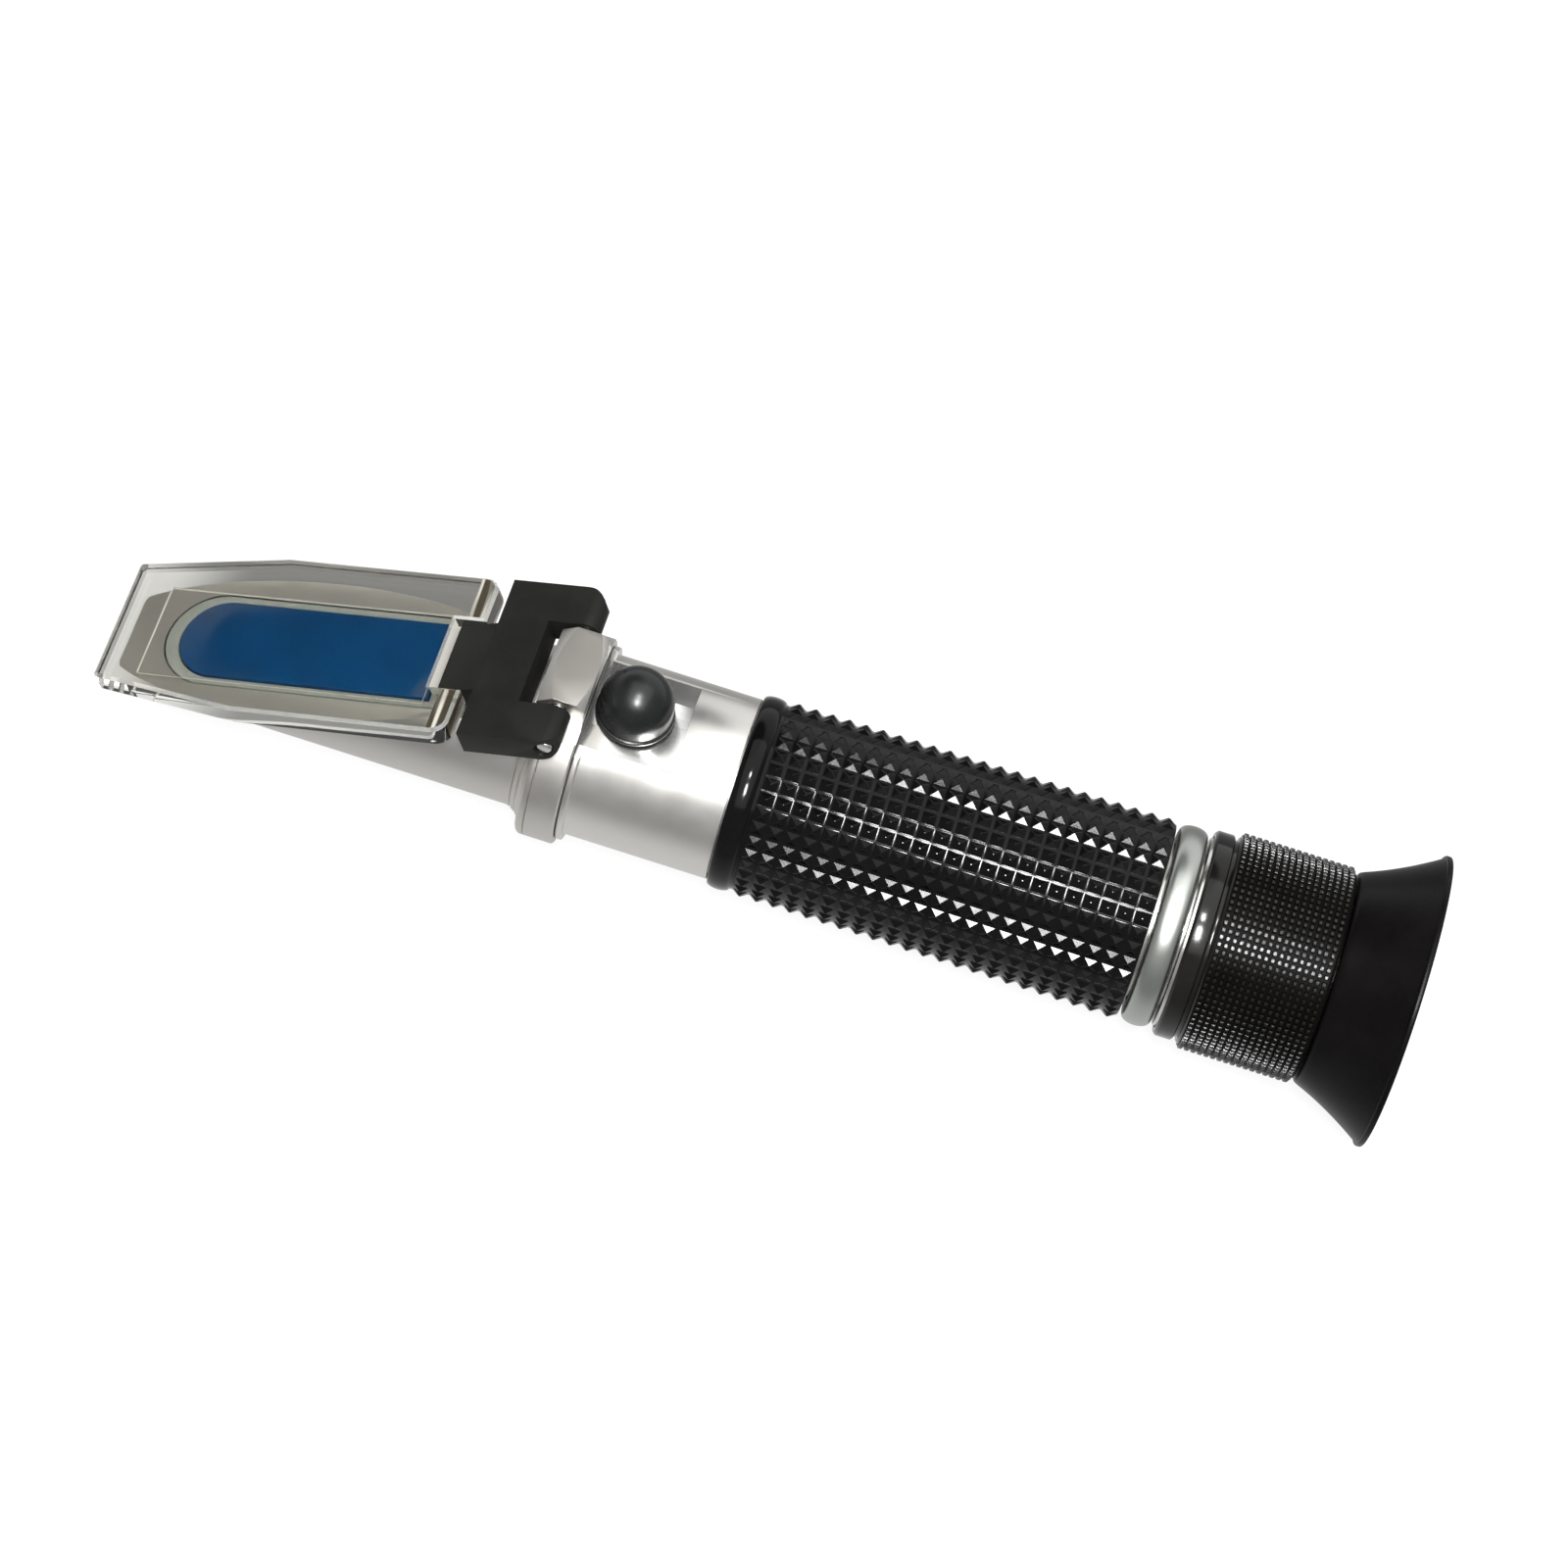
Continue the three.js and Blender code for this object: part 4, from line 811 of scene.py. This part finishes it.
def makeGrip():
    s = gripShape
    base = s['frontTip'] - s['height']
    beadHalf = s['beadLength'] / 2
    studsFront = s['front'] + s['beadLength'] + s['groove']
    turns = [math.pi * i / s['beadSteps'] for i in range(s['beadSteps'] + 1)]
    bead = [(s['front'] + beadHalf - beadHalf * math.cos(a), base + (s['beadRadius'] - base) * math.sin(a))
            for a in turns]
    beadEnd = studsFront + s['lap']
    smoothPart = turn('grip_bead', [(s['front'], s['bore']), *bead, (beadEnd, base - s['lap']),
                                    (beadEnd, s['bore'])], s['steps'])
    pitch = (s['rear'] - studsFront) / s['rows']
    widen = (s['rearTip'] - s['frontTip']) / s['rows']
    rings = [(studsFront + pitch * i, base + widen * i) for i in range(s['rows'] + 1)]
    grip = turn('grip_sleeve_visual', [(studsFront, s['bore']), *rings, (s['rear'], s['bore'])], s['round'])
    outside = lambda middle: math.hypot(middle.y, middle.z) > s['bore'] + 0.3
    chooseFaces(grip, lambda middle, normal: abs(normal.x) < 0.5 and outside(middle))
    bpy.ops.mesh.inset(thickness=s['valley'] * mm, depth=0, use_individual=True)
    bpy.ops.mesh.poke(offset=s['height'] * mm)
    editOff()
    soften(grip, s['edge'], 1, 25)
    merge(grip, smoothPart)
    smooth(grip, 17)
    finishPiece(grip, 'body', 'black_rubber', 'grip_sleeve', material=gripRubber)


makeGrip()
print('grip made')


# End ring and eyepiece tube

endRingShape = {'front': 73.8, 'rear': 77.5, 'radius': 12.95, 'round': 1.3, 'bore': 10.1, 'fullness': 0.7,
                'crownSteps': 24, 'steps': 160}
tubeShape = {'front': 62.5, 'bore': 9.2, 'sleeve': 9.8, 'neckFront': 77.8, 'neckRear': 79.5, 'neckRadius': 12.2,
             'neckEdge': 0.2, 'threadRadius': 11.2, 'threadLead': 0.8, 'threadTurns': 7, 'pitch': 1.0,
             'threadDepth': 0.3, 'threadRoot': 0.1, 'grooveFront': 88.5, 'grooveRear': 89.5,
             'grooveRadius': 10.65, 'threadRear': 92.0, 'steps': 160}


def makeEndRing():
    s = endRingShape
    middle, half = (s['front'] + s['rear']) / 2, (s['rear'] - s['front']) / 2
    turns = [math.pi * i / s['crownSteps'] for i in range(s['crownSteps'] + 1)]
    # fuller than a half circle
    crown = [(middle - half * math.cos(a), s['radius'] - s['round'] * (1 - math.sin(a) ** s['fullness']))
             for a in turns]
    ring = turn('end_ring_visual', [(s['front'], s['bore']), *crown, (s['rear'], s['bore'])], s['steps'])
    smooth(ring, 40)
    finishPiece(ring, 'body', 'grey_satin', 'end_ring', material=ringMetal)


def makeEyeTube():
    s = tubeShape
    depth, root = s['threadDepth'], s['threadRoot']
    thread = []
    for i in range(s['threadTurns']):
        start = s['neckRear'] + s['threadLead'] + i * s['pitch']
        thread += [(start, s['threadRadius']), (start + depth, s['threadRadius'] - depth),
                   (start + depth + root, s['threadRadius'] - depth), (start + 2 * depth + root, s['threadRadius'])]
    tube = turn('eyepiece_tube_visual', [
        (s['front'], s['bore']), (s['front'], s['sleeve']), (s['neckFront'], s['sleeve']),
        *arc(s['neckFront'] + s['neckEdge'], s['neckRadius'] - s['neckEdge'], s['neckEdge'], 180, 90, 3),
        (s['neckRear'], s['neckRadius']), (s['neckRear'], s['threadRadius']), *thread,
        (s['grooveFront'], s['threadRadius']), (s['grooveFront'], s['grooveRadius']),
        (s['grooveRear'], s['grooveRadius']), (s['grooveRear'], s['threadRadius']),
        (s['threadRear'], s['threadRadius']), (s['threadRear'], s['bore'])], s['steps'])
    smooth(tube)
    finishPiece(tube, 'body', 'satin_aluminium', 'eyepiece_tube', material=neckMetal)


makeEndRing()
makeEyeTube()
print('end ring and eyepiece tube made')


# Focusing ring: plain lip, groove, ribbed band, spigot for the eyecup

focusShape = {'front': 78.2, 'frontEdge': 0.35, 'lipRear': 80.7, 'lipEdge': 0.2, 'lipRadius': 13.35,
              'knurlFront': 81.2, 'knurlRear': 96.4, 'knurlEnd': 0.35, 'grooveRadius': 12.8, 'knurlRadius': 14.05,
              'depth': 0.34, 'sink': 0.02, 'bevel': 0.5, 'ribs': 96, 'rows': 17, 'cutHeight': 0.03,
              'padSteps': ((0.12, 0), (0.07, 0.26), (0.06, 0.06)), 'neckRoom': 12.5, 'neckRoomRear': 79.8,
              'threadRoom': 11.5, 'floor': 94.6, 'floorHole': 8.9, 'spigotRear': 99.1, 'spigotRadius': 10.7,
              'hookLength': 0.7, 'hookRise': 0.9, 'edge': 0.05, 'steps': 192}


def makeFocusRing():
    s = focusShape
    valley = s['knurlRadius'] - s['depth']
    under, hookFront = valley - s['sink'], s['spigotRear'] - s['hookLength']
    body = turn('focusing_ring_visual', [
        (s['front'], s['neckRoom']), (s['front'], s['lipRadius'] - s['frontEdge']),
        (s['front'] + s['frontEdge'], s['lipRadius']), (s['lipRear'] - s['lipEdge'], s['lipRadius']),
        (s['lipRear'], s['lipRadius'] - s['lipEdge']), (s['lipRear'], s['grooveRadius']),
        (s['knurlFront'], s['grooveRadius']), (s['knurlFront'], valley - s['bevel']),
        (s['knurlFront'] + s['bevel'], under), (s['knurlRear'] - s['bevel'], under),
        (s['knurlRear'], valley - s['bevel']), (s['knurlRear'], s['spigotRadius']),
        (hookFront, s['spigotRadius']), (hookFront, s['spigotRadius'] + s['hookRise']),
        (s['spigotRear'], s['spigotRadius'] + s['hookRise'] / 2), (s['spigotRear'], s['floorHole']),
        (s['floor'], s['floorHole']), (s['floor'], s['threadRoom']), (s['neckRoomRear'], s['threadRoom']),
        (s['neckRoomRear'], s['neckRoom'])], s['steps'])
    soften(body, s['edge'])
    start, end = s['knurlFront'] + s['knurlEnd'], s['knurlRear'] - s['knurlEnd']
    pitch = (end - start) / s['rows']
    rings = [(start + pitch * i, valley) for i in range(s['rows'] + 1)]
    band = turn('band', [(start, valley - 1), *rings, (end, valley - 1)], s['ribs'])
    outside = lambda middle: math.hypot(middle.y, middle.z) > valley - 0.3
    chooseFaces(band, lambda middle, normal: abs(normal.x) < 0.5 and outside(middle))
    for thickness, rise in s['padSteps']:
        bpy.ops.mesh.inset(thickness=thickness * mm, depth=rise * mm, use_individual=True)
    editOff()
    smooth(body, 25)
    smooth(band, 30)
    body.data.materials.append(ringPlastic)
    # the cuts between the pads are dull
    paint(band, (knurlPlastic, cutPlastic),
          lambda middle, normal: math.hypot(middle.y, middle.z) < valley + s['cutHeight'])
    merge(body, band)
    finishPiece(body, 'focus', 'black_plastic', 'focusing_ring')


# Eyecup: slightly hollow cone with a thin rim lip

cupShape = {'front': 96.7, 'rear': 107.0, 'neck': 13.65, 'neckEdge': 0.2, 'neckLead': 0.15, 'rim': 18.9,
            'wall': 1.2, 'lip': 0.8, 'lipFrontRound': 0.3, 'lipRearRound': 0.2, 'sink': 0.35, 'hole': 11.0,
            'floorRear': 98.1, 'coneSteps': 16, 'steps': 192}


def makeEyecup():
    s = cupShape
    lipFront = s['rear'] - s['lip']
    outer, inner = [], []
    for i in range(s['coneSteps'] + 1):
        t = i / s['coneSteps']
        radius = s['neck'] + (s['rim'] - s['lip'] / 2 - s['neck']) * t - s['sink'] * 4 * t * (1 - t)
        outer.append((s['front'] + (lipFront - s['front']) * t, radius))
        inner.insert(0, (s['floorRear'] + (s['rear'] - s['floorRear']) * t, radius - s['wall']))
    frontRound, rearRound = s['lipFrontRound'], s['lipRearRound']
    cup = turn('eyecup_visual', [
        (s['front'], s['hole']), (s['front'], s['neck'] - s['neckEdge']),
        (s['front'] + s['neckLead'], s['neck']), *outer[1:],
        *arc(lipFront + frontRound, s['rim'] - frontRound, frontRound, 180, 90, 4),
        *arc(s['rear'] - rearRound, s['rim'] - rearRound, rearRound, 90, 0, 4), *inner,
        (s['floorRear'], s['hole'])], s['steps'])
    smooth(cup, 40)
    finishPiece(cup, 'focus', 'black_rubber', 'eyecup', material=cupRubber)


makeFocusRing()
makeEyecup()
print('focusing ring and eyecup made')


# Eye lens and the cap that holds it, seen from behind

eyeShape = {'lensFront': 93.55, 'lensRear': 96.15, 'lensRadius': 7.4, 'crown': 1.1, 'lensRings': 16,
            'capFront': 96.6, 'capInner': 6.5, 'capFlange': 99.4, 'capRadius': 10.2, 'capRear': 100.4,
            'chamfer': 0.5, 'edge': 0.18, 'steps': 128}


def makeEyeLens():
    s = eyeShape
    ball = (s['lensRadius'] ** 2 + s['crown'] ** 2) / (2 * s['crown'])
    radii = [s['lensRadius'] * i / s['lensRings'] for i in range(s['lensRings'] + 1)]
    fall = {radius: ball - math.sqrt(ball ** 2 - radius ** 2) for radius in radii}
    front = [(s['lensFront'] - s['crown'] + fall[radius], radius) for radius in radii[1:]]
    rear = [(s['lensRear'] + s['crown'] - fall[radius], radius) for radius in reversed(radii)]
    lens = turn('eye_lens_visual', front + rear, s['steps'], closed=False)
    smooth(lens)
    finishPiece(lens, 'eyepiece', 'lens_glass', 'eye_lens', material=lensMaterial)


def makeEyeCap():
    s = eyeShape
    cap = turn('eyepiece_cap_visual', [
        (s['capFront'], s['capInner']), (s['capFront'], s['lensRadius']), (s['capFlange'], s['lensRadius']),
        (s['capFlange'], s['capRadius']), (s['capRear'], s['capRadius'] - s['chamfer']),
        (s['capRear'], s['capInner'] + s['chamfer']), (s['capRear'] - s['chamfer'], s['capInner'])], s['steps'])
    soften(cap, s['edge'], angle=25)
    smooth(cap)
    finishPiece(cap, 'eyepiece', 'black_plastic', 'eyepiece_cap', material=ringPlastic)


makeEyeLens()
makeEyeCap()
print('eye lens and its cap made')


# Hidden pieces keep their CAD meshes

hiddenFinish = {
    'lens_carriage': blackMetal, 'objective_lens': lensMaterial, 'objective_ring': blackMetal,
    'carriage_spring': springSteel, 'glare_stop': blackMetal, 'focus_o_ring': sealRubber, 'guide_pin': pinSteel,
    'reticle_cell': blackMetal, 'reticle': lensMaterial, 'reticle_ring': blackMetal, 'eyepiece_cell': blackMetal,
    'field_lens': lensMaterial, 'lens_spacer': blackMetal}
for nodeName, hiddenMaterial in hiddenFinish.items():
    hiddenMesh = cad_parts[nodeName].data
    hiddenMesh.materials.clear()
    hiddenMesh.materials.append(hiddenMaterial)
print('hidden pieces finished')


# Floor, world, lights and camera

# the shine values set the floor's painted shade in reflections, the through values its painted shadow seen through the
# plate
studio = {'floorSize': 6, 'floorLevel': -0.0002, 'floorColor': (0.86, 0.86, 0.86), 'floorGlow': 0.86,
          'floorRough': 0.9, 'floorSpecular': 0.1, 'shineSqueeze': (0.4, 1, 1), 'shineNear': 0.02,
          'shineFar': 0.07, 'shineFirst': 0.28, 'shineDrop': 0.45, 'throughNear': 0.074, 'throughFar': 0.084,
          'throughFirst': 0.54, 'throughDrop': 0.19, 'skyLow': 0.25, 'skyHigh': 0.75, 'skyFront': 0.43,
          'skyBack': 1.2, 'gapGlow': 0.04, 'gapWay': (-0.38, 0.55, 0.72), 'gapTurn': (0.86, 0.925)}
cameraView = {'azimuth': 3.355, 'elevation': 58.341, 'roll': 14.735, 'lens': 115.14, 'sensor': 36,
              'nearest': 0.01, 'place': (0.021735, -0.325635, 0.552645)}
lampTable = {
    'overheadSoftbox': {'place': (0.08, -0.28, 1.165), 'aim': (0.08, -0.28, 0.02), 'size': (1.4, 2.14),
                        'power': 16.6},
    'flash': {'place': (0.04, -0.44, 0.84), 'aim': (0.0, 0.0, 0.02), 'size': (0.1, 0.2), 'power': 12.0},
    'highFlash': {'place': (0.04, -0.17, 0.95), 'aim': (0.0, 0.0, 0.02), 'size': (0.08, 0.1), 'power': 4.0}}


def makeFloor():
    s = studio
    deselectAll()
    bpy.ops.mesh.primitive_plane_add(size=s['floorSize'], location=(0, 0, s['floorLevel']))
    floor = settle(bpy.context.active_object, 'floor')
    sheet = Sheet('paleFloor')
    sheet.finish(color=s['floorColor'], rough=s['floorRough'], specular=s['floorSpecular'])
    seen, glossy, through = (sheet.node('ShaderNodeLightPath', result=name) for name in (
        'Is Camera Ray', 'Is Glossy Ray', 'Is Transmission Ray'))
    glow = sheet.node('ShaderNodeEmission', None, {'Color': (1, 1, 1, 1), 'Strength': 1.0})
    dark = sheet.node('ShaderNodeEmission', None, {'Color': (0, 0, 0, 1), 'Strength': 0.0})
    share = sheet.maths('ADD', seen + glossy, through, True) * s['floorGlow']
    bright = sheet.blend(share, Value(sheet, sheet.shader.outputs[0]), glow)
    # painted shade: reflections show the floor dimmer further out, and the clear plate shows it dimmer close by as a
    # painted shadow of the instrument
    coords = sheet.node('ShaderNodeTexCoord', result='Object')
    squeezed = sheet.node('ShaderNodeMapping', None, {'Vector': coords, 'Scale': s['shineSqueeze']})
    away, forward = (sheet.node('ShaderNodeVectorMath', {'operation': 'LENGTH'}, {0: vector}, 'Value')
                     for vector in (coords, squeezed))
    paintedReflectionShade = s['shineFirst'] + s['shineDrop'] * sheet.ramp(forward, s['shineNear'], s['shineFar'])
    paintedPlateShadow = s['throughDrop'] + s['throughFirst'] * (1 - sheet.ramp(away, s['throughNear'], s['throughFar']))
    # the painted shade and painted shadow darken the floor only in reflections and through the plate
    paintedFloorShade = glossy * (1 - through) * paintedReflectionShade + through * paintedPlateShadow
    sheet.give(sheet.output.inputs['Surface'], sheet.blend(paintedFloorShade, bright, dark))
    floor.data.materials.append(sheet.owner)


def makeWorld():
    s = studio
    sheet = Sheet('softStudio', world=True)
    way = sheet.node('ShaderNodeTexCoord', result='Generated')
    depth = sheet.node('ShaderNodeSeparateXYZ', None, {0: way}, 'Y')
    sky = sheet.node('ShaderNodeMapRange', None, {
        'Value': depth, 'From Min': s['skyLow'], 'From Max': s['skyHigh'], 'To Min': s['skyFront'],
        'To Max': s['skyBack']})
    # the studio is open and dark behind and above on one side
    toward = sheet.node('ShaderNodeVectorMath', {'operation': 'DOT_PRODUCT'},
                        {0: way, 1: Vector(s['gapWay']).normalized()}, 'Value')
    level = sheet.node('ShaderNodeMix', None, {0: sheet.ramp(toward, *s['gapTurn']), 2: sky, 3: s['gapGlow']})
    seen = sheet.node('ShaderNodeLightPath', result='Is Camera Ray')
    sheet.give(sheet.shader.inputs['Color'], sheet.mix(seen, level, (1, 1, 1)))
    bpy.context.scene.world = sheet.owner


def makeLamps():
    for name, s in lampTable.items():
        lamp = bpy.data.lights.new(name, 'AREA')
        lamp.shape = 'RECTANGLE'
        lamp.size, lamp.size_y = s['size']
        lamp.energy = s['power']
        obj = bpy.data.objects.new(name, lamp)
        bpy.context.scene.collection.objects.link(obj)
        aim = Vector(s['aim']) - Vector(s['place'])
        obj.location = s['place']
        obj.rotation_euler = aim.to_track_quat('-Z', 'Y').to_euler()


def makeCamera():
    s = cameraView
    azimuth, elevation, roll = (math.radians(s[key]) for key in ('azimuth', 'elevation', 'roll'))
    back = Vector((math.sin(azimuth) * math.cos(elevation), -math.cos(azimuth) * math.cos(elevation),
                   math.sin(elevation)))
    right = lineOf['z'].cross(back).normalized()
    up = back.cross(right)
    across = right * math.cos(roll) + up * math.sin(roll)
    upward = up * math.cos(roll) - right * math.sin(roll)
    camera = bpy.data.cameras.new('camera')
    camera.lens = s['lens']
    camera.sensor_width = s['sensor']
    camera.clip_start = s['nearest']
    obj = bpy.data.objects.new('camera', camera)
    bpy.context.scene.collection.objects.link(obj)
    turned = Matrix((across, upward, back)).transposed().to_4x4()
    obj.matrix_world = Matrix.Translation(s['place']) @ turned
    bpy.context.scene.camera = obj


makeFloor()
makeWorld()
makeLamps()
makeCamera()
bpy.context.scene.view_settings.view_transform = 'Standard'
deselectAll()
print('studio made')
